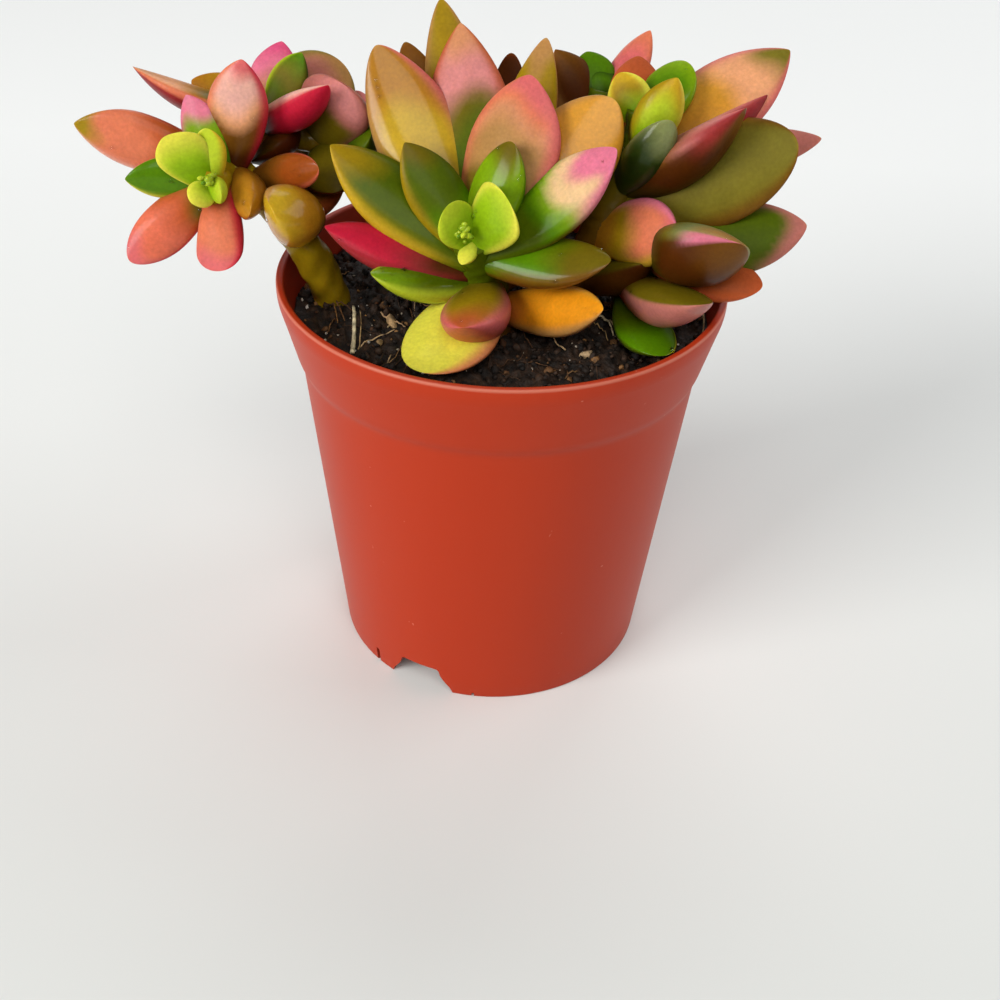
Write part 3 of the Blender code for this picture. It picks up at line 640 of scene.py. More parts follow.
draw = np.random.default_rng(41)
thread_lines = []
thread_radii = []
thread_tints = []
for _ in range(THREAD_COUNT):
    reach = draw.uniform(*THREAD_LENGTHS)
    heading = draw.uniform(0.0, math.tau)
    bend = draw.uniform(-THREAD_BEND, THREAD_BEND)
    distance = THREAD_SPREAD * math.sqrt(draw.uniform())
    angle = draw.uniform(0.0, math.tau)
    t = np.linspace(-0.5, 0.5, 9)
    x = distance * math.cos(angle) + reach * (t * math.cos(heading) - bend * t ** 2 * math.sin(heading))
    y = distance * math.sin(angle) + reach * (t * math.sin(heading) + bend * t ** 2 * math.cos(heading))
    lift = THREAD_LIFT + THREAD_TILT * draw.uniform() * (t + 0.5)
    thread_lines.append(np.column_stack((x, y, soil_height(x, y) + lift)))
    thread_radii.append(draw.uniform(*THREAD_RADII))
    thread_tints.append(THREAD_COLOURS[draw.integers(len(THREAD_COLOURS))])
make_threads("root_threads", thread_lines, thread_radii, thread_tints)

stalk_lines = []
for (start_x, start_y), (end_x, end_y), lift, radius, tint in STALKS:
    t = np.linspace(0.0, 1.0, 13)
    x = start_x + (end_x - start_x) * t + STALK_BEND * np.sin(math.pi * t)
    y = start_y + (end_y - start_y) * t
    stalk_lines.append(np.column_stack((x, y, soil_height(x, y) + radius + lift * np.sin(math.pi * t))))
make_threads("straw_and_stalks", stalk_lines, [stalk[3] for stalk in STALKS], [stalk[4] for stalk in STALKS])

scrap_points = []
scrap_tints = []
draw = np.random.default_rng(43)
for x, y, *half_size, tint in SCRAPS:
    dents = 1.0 + draw.uniform(-SCRAP_DENT, SCRAP_DENT, (len(ball_points), 1))
    middle = (x, y, float(soil_height(np.array(x), np.array(y))) + SCRAP_LIFT * half_size[-1])
    scrap_points.append(ball_points * dents * half_size @ turned_axes(draw, 1)[0] + middle)
    scrap_tints.append(np.repeat(linear(tint)[None], len(ball_points), 0))
scraps = make_piece(
    "bark_scraps", np.concatenate(scrap_points), faces_of_balls(len(SCRAPS)), peat,
    np.concatenate(scrap_tints),
)
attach(scraps, "root")

# Leafy heads
# Each head is a woody stem with thick, water-filled leaves round its growing tip. The leaves keep the
# CAD model's places to a few millimetres, and here get their full roundness, their edges and their colours.
STEM_FOOT = 40.0
STEM_TAPER = 0.8
STEM_SIDES = 28
STEM_WETNESS = 0.3
STEM_TINT_RANGE = (0.25, 0.9)
LEAF_SIDES = 32
LEAF_RINGS = 34
NECK = 0.45
SWELL_POWER = 1.2
TIP_POWER = 2.2
LENS_POWER = 1.05
ROOT_ROUNDING = 0.05
ROOT_DEPTH = 0.75
FULLEST = 0.4
FLATTER = 0.75
FULLER = 1.25
SUNK = 0.7
BOW = 0.05
DENT = 0.025
FOCUS = 12.0
CROWN_LENGTH = 6.0
SKIN_CELL_SIZE = 0.385
SKIN_PATCH_SIZE = 2.38
SKIN_PATCH_DEPTH = 0.2
TINT_STATIONS = (0.12, 0.93)
UNDER_TURN = (0.15, -0.25)
EDGE_SHARE = 0.9
EDGE_START, THIN_EDGE_START = 0.62, 0.93
EDGE_REACH, LATE_EDGE_REACH = (0.05, 0.35), (0.55, 0.8)
FAN_RISE_STEP = 9.0
FAN_LENGTH_STEP = 1.0
FAN_DROP_STEP = 1.2

# A leaf grows from the stem, drop below its growing tip, and reaches to the point tip. Roll turns its face
# in degrees about its length, point is 1 for a sharp end and 0 for a round one, and belly is how far along
# it is widest. Tints are its colours from root to tip, and under those of its underside, where they differ.
# Edges names the colours of its near and its far edge. There same keeps the leaf's own colour, late leaves
# out the inner half, and thin makes a narrow line. Wet is 1 for a leaf that is covered in water.
# A fan is a row of plain leaves between two turns about the stem, in degrees, that rise at an angle. A stem
# runs from its foot by way of some points to its crown.
Leaf = namedtuple(
    "Leaf", "tip drop width thickness roll point tints edges under wet belly", defaults=("", "", 0.0, 0.55)
)
Fan = namedtuple("Fan", "count first last rise length drop width thickness")
Stem = namedtuple("Stem", "foot via crown radius")

TINTS = {
    "crimson": "#C01E38",
    "magenta": "#CC4C74",
    "pink": "#D27088",
    "rose": "#C96262",
    "dusty_rose": "#B06A60",
    "shell_pink": "#C87E7A",
    "blush": "#DCA698",
    "salmon": "#CC7050",
    "coral": "#D2694E",
    "apricot": "#C4845C",
    "peach": "#DA9A6E",
    "cream": "#DDB888",
    "tangerine": "#D88A16",
    "amber": "#CC9030",
    "ochre": "#A8721A",
    "gold": "#BE9A22",
    "mustard": "#94780E",
    "khaki": "#72681F",
    "olive": "#66580C",
    "dark_olive": "#3A3404",
    "moss": "#4A5A04",
    "green": "#4E7804",
    "leaf_green": "#74960A",
    "bright_green": "#8CAE16",
    "lime": "#B0C02C",
    "lemon": "#D8D248",
    "deep_green": "#22300A",
    "sage": "#7C8250",
    "brown": "#6E4410",
    "russet": "#8C4212",
    "rust": "#B0522A",
    "umber": "#4C2406",
    "maroon": "#4A160C",
    "tan": "#A87C46",
    "wine": "#8E2A2C",
}


def stem_line(stem):
    """Fine points along a stem: upright in its hole, then on a Catmull-Rom curve to its crown."""
    x, y = stem.foot
    surface = np.array((x, y, SOIL_LEVEL + SOIL_MOUND))
    knots = [surface, *np.array(stem.via), np.array(stem.crown)]
    upright_start = surface - (0.0, 0.0, np.linalg.norm(knots[1] - surface))
    knots = [upright_start, *knots, 2 * knots[-1] - knots[-2]]
    pieces = [np.linspace((x, y, STEM_FOOT), surface, 10, endpoint=False)]
    for before, start, end, after in zip(knots[:-3], knots[1:-2], knots[2:-1], knots[3:]):
        t = np.linspace(0.0, 1.0, 24, endpoint=False)[:, None]
        pieces.append(0.5 * (
            2 * start + (end - before) * t
            + (2 * before - 5 * start + 4 * end - after) * t ** 2
            + (3 * start - before - 3 * end + after) * t ** 3
        ))
    return np.concatenate((*pieces, knots[-2][None]))


def point_below_crown(line, drop):
    """The point on a stem's line that lies drop below its crown, measured along the line."""
    lengths = np.linalg.norm(np.diff(line[::-1], axis=0), axis=1)
    distance = np.append(0.0, np.cumsum(lengths))
    return np.array([np.interp(drop, distance, line[::-1, axis]) for axis in range(3)])


def smooth(low, high, value):
    """0 below low, 1 above high and an S-curve between. It falls instead where low is the larger."""
    t = np.clip((value - low) / (high - low), 0.0, 1.0)
    return t * t * (3 - 2 * t)


def tint_line(names, along):
    """The colours of a list of tints, blended one into the next from root to tip. A number after a name
    repeats it."""
    words = re.findall(r"([a-z_]+)(?: (\d))?", names)
    repeats = [int(times or 1) for _, times in words]
    colours = np.repeat([linear(TINTS[name]) for name, _ in words], repeats, 0)
    stations = np.linspace(*TINT_STATIONS, len(colours))
    return np.stack([np.interp(along, stations, colours[:, channel]) for channel in range(3)], -1)


def leaf_surface(leaf, line, focus, seed):
    """A round form drawn out from root to tip. Its width swells from neck to belly and ends sharp or
    round, its section is a lens that is flatter above, and its middle is bowed down. Its colours run in
    ripples along it, with those of its underside and its edges over them.
    Returns its points, with the two poles last, and the colour of each."""
    tip = np.array(leaf.tip)
    root = point_below_crown(line, leaf.drop)
    inward = focus - (root + tip) / 2
    forward = unit(tip - root)
    root = root - SUNK * forward
    length = np.linalg.norm(tip - root)
    face = unit(inward - inward.dot(forward) * forward)
    turn = Matrix.Rotation(math.radians(-leaf.roll), 3, Vector(forward))
    face = np.array(turn @ Vector(face))
    side = np.cross(face, forward)

    draw = np.random.default_rng(seed)
    s = ((1 - np.cos(np.linspace(0.0, math.pi, LEAF_RINGS + 2)[1:-1])) / 2)[:, None]
    angle = (np.arange(LEAF_SIDES) / LEAF_SIDES * math.tau)[None, :]
    swelling = NECK + (1 - NECK) * np.sin(math.pi / 2 * np.minimum(s / leaf.belly, 1.0)) ** SWELL_POWER
    t = np.clip((s - leaf.belly) / (1 - leaf.belly), 0.0, 1.0)
    ending = leaf.point * (1 - t ** TIP_POWER) + (1 - leaf.point) * np.sqrt(1 - t * t)
    root_round = np.sqrt(1 - np.clip(1 - s / ROOT_ROUNDING, 0.0, 1.0) ** 2)
    width = np.where(s < leaf.belly, swelling, ending) * root_round
    depth_near = ROOT_DEPTH + (1 - ROOT_DEPTH) * np.sin(math.pi / 2 * np.minimum(s / FULLEST, 1.0))
    depth_far = 1 - np.clip((s - FULLEST) / (1 - FULLEST), 0.0, 1.0) ** TIP_POWER
    depth = np.where(s < FULLEST, depth_near, depth_far) * root_round
    dents = 1 + DENT * np.sin(5 * s + angle + draw.uniform(0, 6)) * np.sin(2 * angle + draw.uniform(0, 6))
    across = leaf.width / 2 * width * np.cos(angle) * dents
    lens = np.sign(np.sin(angle)) * np.abs(np.sin(angle)) ** LENS_POWER
    fullness = np.where(np.sin(angle) > 0, FLATTER, FULLER)
    height = leaf.thickness / 2 * depth * fullness * lens * dents
    height = height - BOW * length * 4 * s * (1 - s)
    skin = root + (s * length)[..., None] * forward + across[..., None] * side + height[..., None] * face
    poles = np.array((root, tip))

    ripple = 0.05 * np.sin(3 * angle + draw.uniform(0, 6))
    ripple = ripple + 0.04 * np.sin(9 * s + 2 * angle + draw.uniform(0, 6))
    along = s + ripple * smooth(0.0, 0.3, s) * smooth(1.0, 0.8, s)
    colours = tint_line(leaf.tints, along)
    if leaf.under:
        share = smooth(*UNDER_TURN, np.sin(angle))[..., None]
        colours = (1 - share) * colours + share * tint_line(leaf.under, along)
    if leaf.edges:
        near, far, *kind = leaf.edges.split()
        reach = smooth(*(LATE_EDGE_REACH if "late" in kind else EDGE_REACH), s)[..., None]
        start = THIN_EDGE_START if "thin" in kind else EDGE_START
        for name, direction in ((near, 1.0), (far, -1.0)):
            if name != "same":
                share = EDGE_SHARE * reach * smooth(start, 0.99, direction * np.cos(angle))[..., None]
                colours = (1 - share) * colours + share * linear(TINTS[name])
    points = np.concatenate((skin.reshape(-1, 3), poles))
    pole_colours = np.array((colours[0].mean(0), colours[-1].mean(0)))
    return points, np.concatenate((colours.reshape(-1, 3), pole_colours))


FAN_LOOKS = (
    # tints, edges and under of the leaves that a fan draws from
    ("dark_olive olive khaki dusty_rose", "rust rose", "moss olive rust"),
    ("deep_green moss olive", "olive rust", "deep_green moss olive"),
    ("moss olive rust salmon", "rose crimson", "dark_olive russet rose"),
    ("deep_green moss green olive", "", "deep_green moss"),
    ("olive ochre rust", "coral rust", "olive russet rust"),
)


def fan_leaves(fan, line, seed):
    """The leaves of a fan on the far side of a stem, each second one a little higher and longer, with
    colours by a seeded draw."""
    draw = np.random.default_rng(seed)
    leaves = []
    for index in range(fan.count):
        turn = math.radians(fan.first + (fan.last - fan.first) * index / max(1, fan.count - 1))
        odd = index % 2
        rise = math.radians(fan.rise + FAN_RISE_STEP * odd)
        drop = fan.drop + FAN_DROP_STEP * odd
        way = np.array((math.cos(turn) * math.cos(rise), math.sin(turn) * math.cos(rise), math.sin(rise)))
        tip = point_below_crown(line, drop) + (fan.length + FAN_LENGTH_STEP * odd) * way
        tints, edges, under = FAN_LOOKS[draw.integers(len(FAN_LOOKS))]
        leaves.append(Leaf(tuple(tip), drop, fan.width, fan.thickness, 0, 0.7, tints, edges, under))
    return leaves


# Leaf skin is waxy and full of water: soft light sinks in and comes out redder, the wax gives a broad
# dull gloss, and water on it a sharp one. Its cells show as a fine grain of paler and darker dots.
leaf_skin, skin_shader = new_material(
    "waxy leaf skin", IOR=1.45, Specular_IOR_Level=0.08, Coat_Roughness=0.12,
    Subsurface_Weight=0.2, Subsurface_Radius=(1.0, 0.5, 0.1), Subsurface_Scale=1.2 * MM,
)
skin_place = add_node(leaf_skin, "ShaderNodeTexCoord").outputs["Object"]
skin_tint = add_node(leaf_skin, "ShaderNodeAttribute", attribute_name="tint")
skin_wet = add_node(leaf_skin, "ShaderNodeAttribute", attribute_name="wetness")
cells = add_node(
    leaf_skin, "ShaderNodeTexNoise", {"Vector": skin_place}, Scale=1 / (SKIN_CELL_SIZE * MM), Detail=2.0
)
patches = add_node(
    leaf_skin, "ShaderNodeTexNoise", {"Vector": skin_place}, Scale=1 / (SKIN_PATCH_SIZE * MM), Detail=3.0
)
cell_light = add_node(
    leaf_skin, "ShaderNodeMapRange", {"Value": cells.outputs["Fac"]},
    From_Min=0.3, From_Max=0.7, To_Min=0.89, To_Max=1.05,
)
patch_light = add_node(
    leaf_skin, "ShaderNodeMapRange", {"Value": patches.outputs["Fac"]},
    From_Min=0.3, From_Max=0.7, To_Min=0.93, To_Max=1.07,
)
both_lights = add_node(
    leaf_skin, "ShaderNodeMath", {0: cell_light.outputs["Result"], 1: patch_light.outputs["Result"]},
    operation="MULTIPLY",
)
skin_colour = add_node(
    leaf_skin, "ShaderNodeVectorMath",
    {0: skin_tint.outputs["Color"], "Scale": both_lights.outputs["Value"]}, operation="SCALE",
)
skin_roughness = add_node(
    leaf_skin, "ShaderNodeMapRange", {"Value": skin_wet.outputs["Fac"]}, To_Min=0.4, To_Max=0.14
)
skin_water = add_node(leaf_skin, "ShaderNodeMapRange", {"Value": skin_wet.outputs["Fac"]}, To_Max=0.8)
skin_bump = add_node(
    leaf_skin, "ShaderNodeBump", {"Height": patches.outputs["Fac"]},
    Strength=0.25, Distance=SKIN_PATCH_DEPTH * MM,
)
feed(
    skin_shader, Base_Color=skin_colour.outputs["Vector"], Roughness=skin_roughness.outputs["Result"],
    Coat_Weight=skin_water.outputs["Result"], Normal=skin_bump.outputs["Normal"],
)

LEAF_FACES = closed_grid_faces(LEAF_RINGS, LEAF_SIDES)
LEAF_POINTS = LEAF_RINGS * LEAF_SIDES + 2
leaf_skins = {}


def grow_leaves(name, stem, leaves, fans, seed):
    """All the leaves of one stem in one piece. Keeps each leaf's points for the water drops."""
    line = stem_line(stem)
    crown = line[-1]
    focus = crown + FOCUS * unit(crown - point_below_crown(line, CROWN_LENGTH))
    every = list(leaves)
    for index, fan in enumerate(fans):
        every += fan_leaves(fan, line, seed + index)
    surfaces = [leaf_surface(leaf, line, focus, seed * 50 + index) for index, leaf in enumerate(every)]
    points = np.concatenate([surface[0] for surface in surfaces])
    colours = np.concatenate([surface[1] for surface in surfaces])
    wetness = np.repeat([leaf.wet for leaf in every], LEAF_POINTS)
    starts = np.arange(len(every)) * LEAF_POINTS
    faces = [[corner + start for corner in face] for start in starts.tolist() for face in LEAF_FACES]
    leaf_skins[name] = [surface[0] for surface in surfaces]
    return make_piece(name, points, faces, leaf_skin, colours, wetness)


def grow_stem(name, stem, foot_tint, crown_tint, seed):
    """A round stem along its line, a little thinner at the crown, with two crossing waves of knobs."""
    line = stem_line(stem)
    along = np.linspace(0.0, 1.0, len(line))[:, None]
    angle = (np.arange(STEM_SIDES) / STEM_SIDES * math.tau)[None, :]
    draw = np.random.default_rng(seed)
    knobs = 0.05 * np.sin(38 * along + 2 * angle + draw.uniform(0, 6))
    knobs = knobs + 0.03 * np.sin(90 * along - 3 * angle)
    radius = stem.radius * (1 - (1 - STEM_TAPER) * along) * (1 + knobs)
    points = tube_points(line, radius, STEM_SIDES)
    share = smooth(*STEM_TINT_RANGE, along)
    colours = (1 - share) * linear(TINTS[foot_tint]) + share * linear(TINTS[crown_tint])
    colours = np.repeat(colours[:, None], STEM_SIDES, 1).reshape(-1, 3)
    colours = np.concatenate((colours, colours[:1], colours[-1:]))
    faces = closed_grid_faces(len(line), STEM_SIDES)
    return make_piece(name, points, faces, leaf_skin, colours, np.full(len(points), STEM_WETNESS))


def place_head(node, pieces):
    """Let the pieces of a head stand for its CAD node and ride with the pot."""
    for piece in pieces:
        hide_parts(node)
        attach(piece, "root")


# Left head
# It leans out over the rim, so its rosette faces the left. Orange and rose outside, yellow-green at
# the growing tip, with two short brown leaves and a fat golden one on the stem.
LEFT_STEM = Stem(
    (-21.2, 0.0), ((-24.4, -2.0, 57.0), (-29.0, 0.5, 61.5), (-32.5, -1.0, 64.4)), (-33.5, -6.5, 64.8), 2.3
)
LEFT_LEAVES = (
    # Its blush near edge is partly its own rosy margin and partly a painted highlight.
    Leaf((-49.5, -1.0, 69.5), 4.5, 6.8, 4.4, 0, 0.7,
         "umber 2 russet rust salmon 3 mustard", "blush same", "russet rust coral blush 2", 0.15, belly=0.6),
    Leaf((-36.5, 0.0, 73.0), 4.0, 5.2, 3.2, 0, 0.7,
         "green 2 leaf_green 2 pink 2", "", "green pink", 0.1),
    # Its peach and blush middle is partly its own colour and partly a painted highlight.
    Leaf((-29.6, -1.0, 77.6), 6.0, 7.0, 4.6, -10, 0.7,
         "umber 2 brown 2 peach blush 2 rose", "salmon crimson", "umber brown rust salmon rose", 0.15),
    Leaf((-43.0, -6.0, 65.2), 2.5, 4.8, 3.4, 0, 0.7,
         "moss green 3", "lemon same", "green lime", 0.2),
    Leaf((-37.6, -7.5, 70.9), 1.2, 6.2, 2.8, -10, 0.45,
         "leaf_green 2 bright_green lime lemon", "lemon lemon", "lime", belly=0.65),
    Leaf((-33.0, -6.0, 71.5), 1.2, 3.6, 2.6, 0, 0.2,
         "leaf_green lime 2", "lemon gold", "lime", belly=0.65),
    Leaf((-35.0, -9.0, 64.0), 0.6, 3.2, 2.0, 0, 0.6, "leaf_green lime lemon", "lemon lemon", "lemon"),
    Leaf((-31.5, -9.0, 65.0), 0.6, 3.0, 2.0, 0, 0.5, "leaf_green bright_green lime", "lime lime", "lime"),
    Leaf((-42.9, -9.0, 56.5), 2.5, 5.8, 4.4, 0, 0.3,
         "dark_olive olive rust coral 2 rose", "crimson same thin", "rust coral rose", 0.2, belly=0.6),
    Leaf((-32.4, -10.0, 56.2), 2.5, 5.8, 4.2, 0, 0.0,
         "olive rust salmon 2 rose", "crimson same", "rust coral", belly=0.78),
    Leaf((-28.5, -9.0, 63.0), 6.5, 4.6, 4.4, 0, 0.2, "umber ochre 2", "same russet", "brown ochre", 0.35),
    Leaf((-21.0, -6.0, 67.5), 9.0, 4.4, 4.0, 0, 0.3,
         "umber brown russet 2", "same coral", "coral 2", 0.4),
    Leaf((-26.0, -10.0, 64.6), 17.0, 7.2, 6.6, 0, 0.1,
         "olive ochre 2 gold", "tan same", "brown ochre 2 gold", 0.5),
)
LEFT_FANS = (Fan(2, 165, 200, 8, 12, 10.0, 6.0, 4.2), Fan(2, 60, 105, 4, 12, 14.0, 6.0, 4.4))
place_head("head_left", (
    grow_stem("left_stem", LEFT_STEM, "mustard", "mustard", 1),
    grow_leaves("left_leaves", LEFT_STEM, LEFT_LEAVES, LEFT_FANS, 1),
))

# Back left head
# It stands behind the left one and looks up past it, with hot pink tips and crimson undersides.
BACK_LEFT_STEM = Stem((-6.0, 5.0), ((-16.0, 6.5, 62.5), (-24.5, 7.0, 66.0)), (-29.5, 6.0, 69.0), 2.0)
BACK_LEFT_LEAVES = (
    Leaf((-43.8, 5.5, 74.1), 0.2, 8.4, 3.4, -55, 0.75,
         "olive 3 ochre peach 3", "salmon tan thin", "maroon wine 3", 0.1),
    Leaf((-38.0, 9.0, 71.5), 3.0, 6.0, 3.8, 0, 0.6, "olive mustard ochre", "", "dark_olive olive"),
    Leaf((-27.4, 12.0, 75.6), 0.5, 6.0, 3.2, -60, 0.7, "olive tan pink magenta", "", "olive pink"),
    Leaf((-24.6, 9.0, 75.3), 1.0, 4.8, 3.0, -60, 0.6,
         "dark_olive moss khaki green", "lime dark_olive", "deep_green green"),
    Leaf((-20.3, 13.0, 72.9), 3.0, 10.4, 5.0, -80, 0.1,
         "olive tan dusty_rose tan", "khaki khaki", "olive tan"),
    Leaf((-20.5, 1.0, 74.4), 1.0, 5.6, 4.0, 62, 0.7,
         "rose blush 3", "", "maroon crimson 3", 0.05),
    Leaf((-19.1, 2.8, 74.0), 8.0, 9.0, 5.2, -70, 0.1,
         "dark_olive olive 3 dusty_rose shell_pink 2", "dusty_rose dusty_rose",
         "dark_olive olive rust", belly=0.6),
    Leaf((-20.0, 0.0, 62.0), 9.0, 7.6, 5.0, 50, 0.4, "dark_olive olive 2", "same same", "olive russet"),
    Leaf((-16.0, 3.0, 68.0), 11.0, 4.6, 3.6, 0, 0.3, "deep_green moss", "", "deep_green moss"),
    # This dark umber and maroon leaf fills the shaded hollow between the two left rosettes: its dark colours
    # are painted shade.
    Leaf((-30.4, 2.5, 64.3), 4.0, 7.4, 3.4, 0, 0.4, "umber 2 dark_olive", "", "maroon umber"),
)
BACK_LEFT_FANS = (
    Fan(3, 75, 165, 8, 13, 4.0, 6.6, 4.2),
    Fan(3, 60, 140, 0, 13, 11.0, 6.8, 4.6),
    Fan(3, 62, 128, -5, 12, 19.0, 6.8, 4.8),
)
place_head("head_back_left", (
    grow_stem("back_left_stem", BACK_LEFT_STEM, "brown", "olive", 2),
    grow_leaves("back_left_leaves", BACK_LEFT_STEM, BACK_LEFT_LEAVES, BACK_LEFT_FANS, 2),
))

# Centre head
# The largest rosette, open to the front. Pink, gold and olive leaves stand behind its green heart, and
# shorter ones hang over the soil in front.
CENTRE_STEM = Stem((-0.5, -4.5), ((-1.5, -4.5, 52.0),), (-3.5, -9.0, 61.0), 2.8)
CENTRE_LEAVES = (
    Leaf((-6.0, 9.0, 79.5), 4.0, 10.4, 5.4, 0, 0.8,
         "moss 5 olive shell_pink 2 apricot", "rust rust", "olive rose"),
    Leaf((-8.5, 13.0, 81.0), 6.0, 8.0, 4.4, 0, 0.6,
         "olive 2 mustard 3", "tan tan", "olive brown"),
    Leaf((-15.5, 6.0, 77.5), 5.0, 10.6, 5.6, 0, 0.5,
         "olive mustard 2 gold 2 ochre 2", "tan rose", "olive amber", 0.4),
    Leaf((-12.7, 12.0, 76.1), 7.0, 8.0, 4.4, 0, 0.5, "umber 2 brown", "", "umber"),
    Leaf((2.3, 1.0, 76.5), 3.0, 11.4, 5.4, 0, 0.6,
         "moss 2 olive 2 tan 2 apricot salmon rose", "salmon rose", "olive salmon", 0.05, belly=0.6),
    Leaf((0.5, -5.0, 71.0), 1.5, 6.6, 4.4, 0, 0.4, "moss 2 leaf_green 2 olive", "", "green", 0.3),
    Leaf((0.3, -12.2, 67.4), 0.6, 7.4, 3.0, -35, 0.1,
         "leaf_green 2 bright_green lime", "lemon lemon", "lime", 0.2, belly=0.7),
    Leaf((-6.5, -11.0, 65.5), 0.4, 5.2, 2.4, 30, 0.2, "leaf_green bright_green lime", "lime lime", "lime"),
    Leaf((-4.5, -12.5, 59.5), 0.2, 2.2, 1.6, 0, 0.6, "lime lemon", "", "lemon"),
    Leaf((-11.5, -4.0, 70.0), 2.5, 6.8, 4.4, 0, 0.75,
         "deep_green green moss 2 olive", "mustard same", "moss", 0.05),
    Leaf((-20.0, -3.0, 69.0), 4.0, 8.4, 5.2, 0, 0.8,
         "moss 4 mustard", "gold same", "moss olive", 0.08),
    Leaf((-20.2, -9.0, 61.8), 6.0, 6.2, 4.2, 0, 0.75,
         "umber 2 wine crimson 3", "wine wine", "umber 2 wine 2", 0.1),
    Leaf((11.9, 0.0, 74.4), 4.0, 10.6, 5.0, -25, 0.3,
         "olive ochre amber 2", "tan ochre", "olive amber", 0.35, belly=0.65),
    Leaf((12.0, -7.5, 71.6), 2.5, 8.8, 5.0, 0, 0.6,
         "moss 4 green leaf_green cream 2 pink 2", "same pink late", "moss olive tan", 0.1),
    Leaf((12.0, -13.0, 61.0), 3.0, 6.6, 4.4, 0, 0.5,
         "green 3 olive 2", "same brown", "olive russet brown", 0.35),
    Leaf((-14.8, -12.0, 57.7), 8.0, 5.4, 4.2, 0, 0.5,
         "moss 3 leaf_green", "lime lime", "moss leaf_green lime", 0.9),
    Leaf((-4.0, -19.0, 55.2), 9.0, 8.0, 6.2, 0, 0.25,
         "moss olive mustard rust", "rose rose", "rust coral", 0.3),
    Leaf((-8.6, -20.5, 50.2), 8.5, 10.6, 4.0, 0, 0.0,
         "gold lemon 3", "salmon same", "lime lemon", 0.1),
    Leaf((11.4, -15.8, 56.4), 12.5, 6.2, 4.8, -25, 0.6,
         "rust tangerine 3", "amber tan", "amber rust 2", 0.25),
    Leaf((4.0, 8.0, 78.5), 5.0, 7.2, 4.6, 0, 0.55,
         "moss 4 olive mustard 5 tan", "", "moss olive coral"),
    Leaf((0.0, 13.0, 75.0), 7.0, 6.4, 4.0, 0, 0.2, "maroon 2 umber", "", "maroon"),
)
CENTRE_FANS = (
    Fan(3, 48, 88, 30, 17, 9.0, 7.0, 4.6),
    Fan(1, 152, 152, 34, 17, 9.0, 7.4, 4.8),
    Fan(1, 88, 88, 30, 12, 11.5, 6.4, 4.6),
)
place_head("head_centre", (
    grow_stem("centre_stem", CENTRE_STEM, "brown", "moss", 3),
    grow_leaves("centre_leaves", CENTRE_STEM, CENTRE_LEAVES, CENTRE_FANS, 3),
))

# Right head
# A tall rosette with a yellow-green heart and long leaves that sweep right. A low side shoot from the
# same root carries the fat leaves that hang over the right rim.
RIGHT_STEM = Stem((9.5, 1.0), ((11.0, -1.0, 58.5), (14.6, 1.0, 67.0)), (15.4, 1.5, 72.5), 2.3)
RIGHT_LEAVES = (
    Leaf((19.3, -9.8, 63.4), 15.0, 8.0, 5.4, -85, 0.6,
         "ochre 2 mustard salmon 2 rose", "pink gold", "olive coral", 0.5),
    Leaf((17.0, -8.0, 58.5), 21.0, 5.2, 4.2, 0, 0.4, "dark_olive olive", "", "brown umber"),
    Leaf((15.0, 9.0, 76.5), 3.0, 7.0, 4.0, 0, 0.5, "brown rust 2", "", "russet rust"),
    Leaf((12.4, 4.5, 75.9), 1.5, 5.2, 2.6, 70, 0.4,
         "moss leaf_green mustard gold", "lemon lemon", "leaf_green lime"),
    Leaf((18.5, -1.0, 77.5), 4.0, 5.4, 3.6, 30, 0.6,
         "moss 3 green leaf_green mustard", "lemon mustard", "moss leaf_green lime gold", 0.1),
    Leaf((20.1, 6.0, 77.1), 1.5, 7.0, 3.2, 0, 0.1,
         "moss 2 green leaf_green", "leaf_green leaf_green", "leaf_green", 0.3),
    Leaf((17.8, -5.2, 74.2), 8.0, 5.2, 4.3, 16, 0.2,
         "deep_green 2 sage", "", "deep_green 3 sage", 0.35),
    Leaf((32.0, 7.0, 78.5), 5.0, 10.0, 5.4, -35, 0.75,
         "olive ochre amber 2 peach 2 khaki", "rose rose", "olive salmon"),
    Leaf((30.0, 4.0, 74.5), 7.0, 7.4, 4.6, 30, 0.75, "tan blush rose", "blush wine", "brown wine 2"),
    # Its blush near edge is partly its own pink and partly a painted highlight along its upper strip.
    Leaf((26.0, -4.0, 75.5), 8.0, 8.4, 5.6, 0, 0.4,
         "olive brown 2 dusty_rose shell_pink rose", "blush wine late", "dark_olive umber 3 brown"),
    Leaf((32.5, -3.0, 71.5), 12.0, 12.0, 5.8, -70, 0.15,
         "olive khaki 3", "brown brown", "khaki 2 tan"),
    Leaf((37.0, 5.0, 69.0), 5.0, 6.0, 4.0, -40, 0.6, "rust dusty_rose 2", "", "rust dusty_rose"),
)
RIGHT_FANS = (
    Fan(2, 25, 55, 8, 15, 5.0, 6.6, 4.2),
    Fan(3, 10, 55, 6, 16, 12.0, 7.4, 4.8),
    Fan(2, 25, 52, 4, 14, 19.0, 7.2, 4.8),
)
LOW_RIGHT_STEM = Stem((15.5, -1.0), ((15.5, -4.0, 55.0),), (19.0, -6.0, 60.5), 2.0)
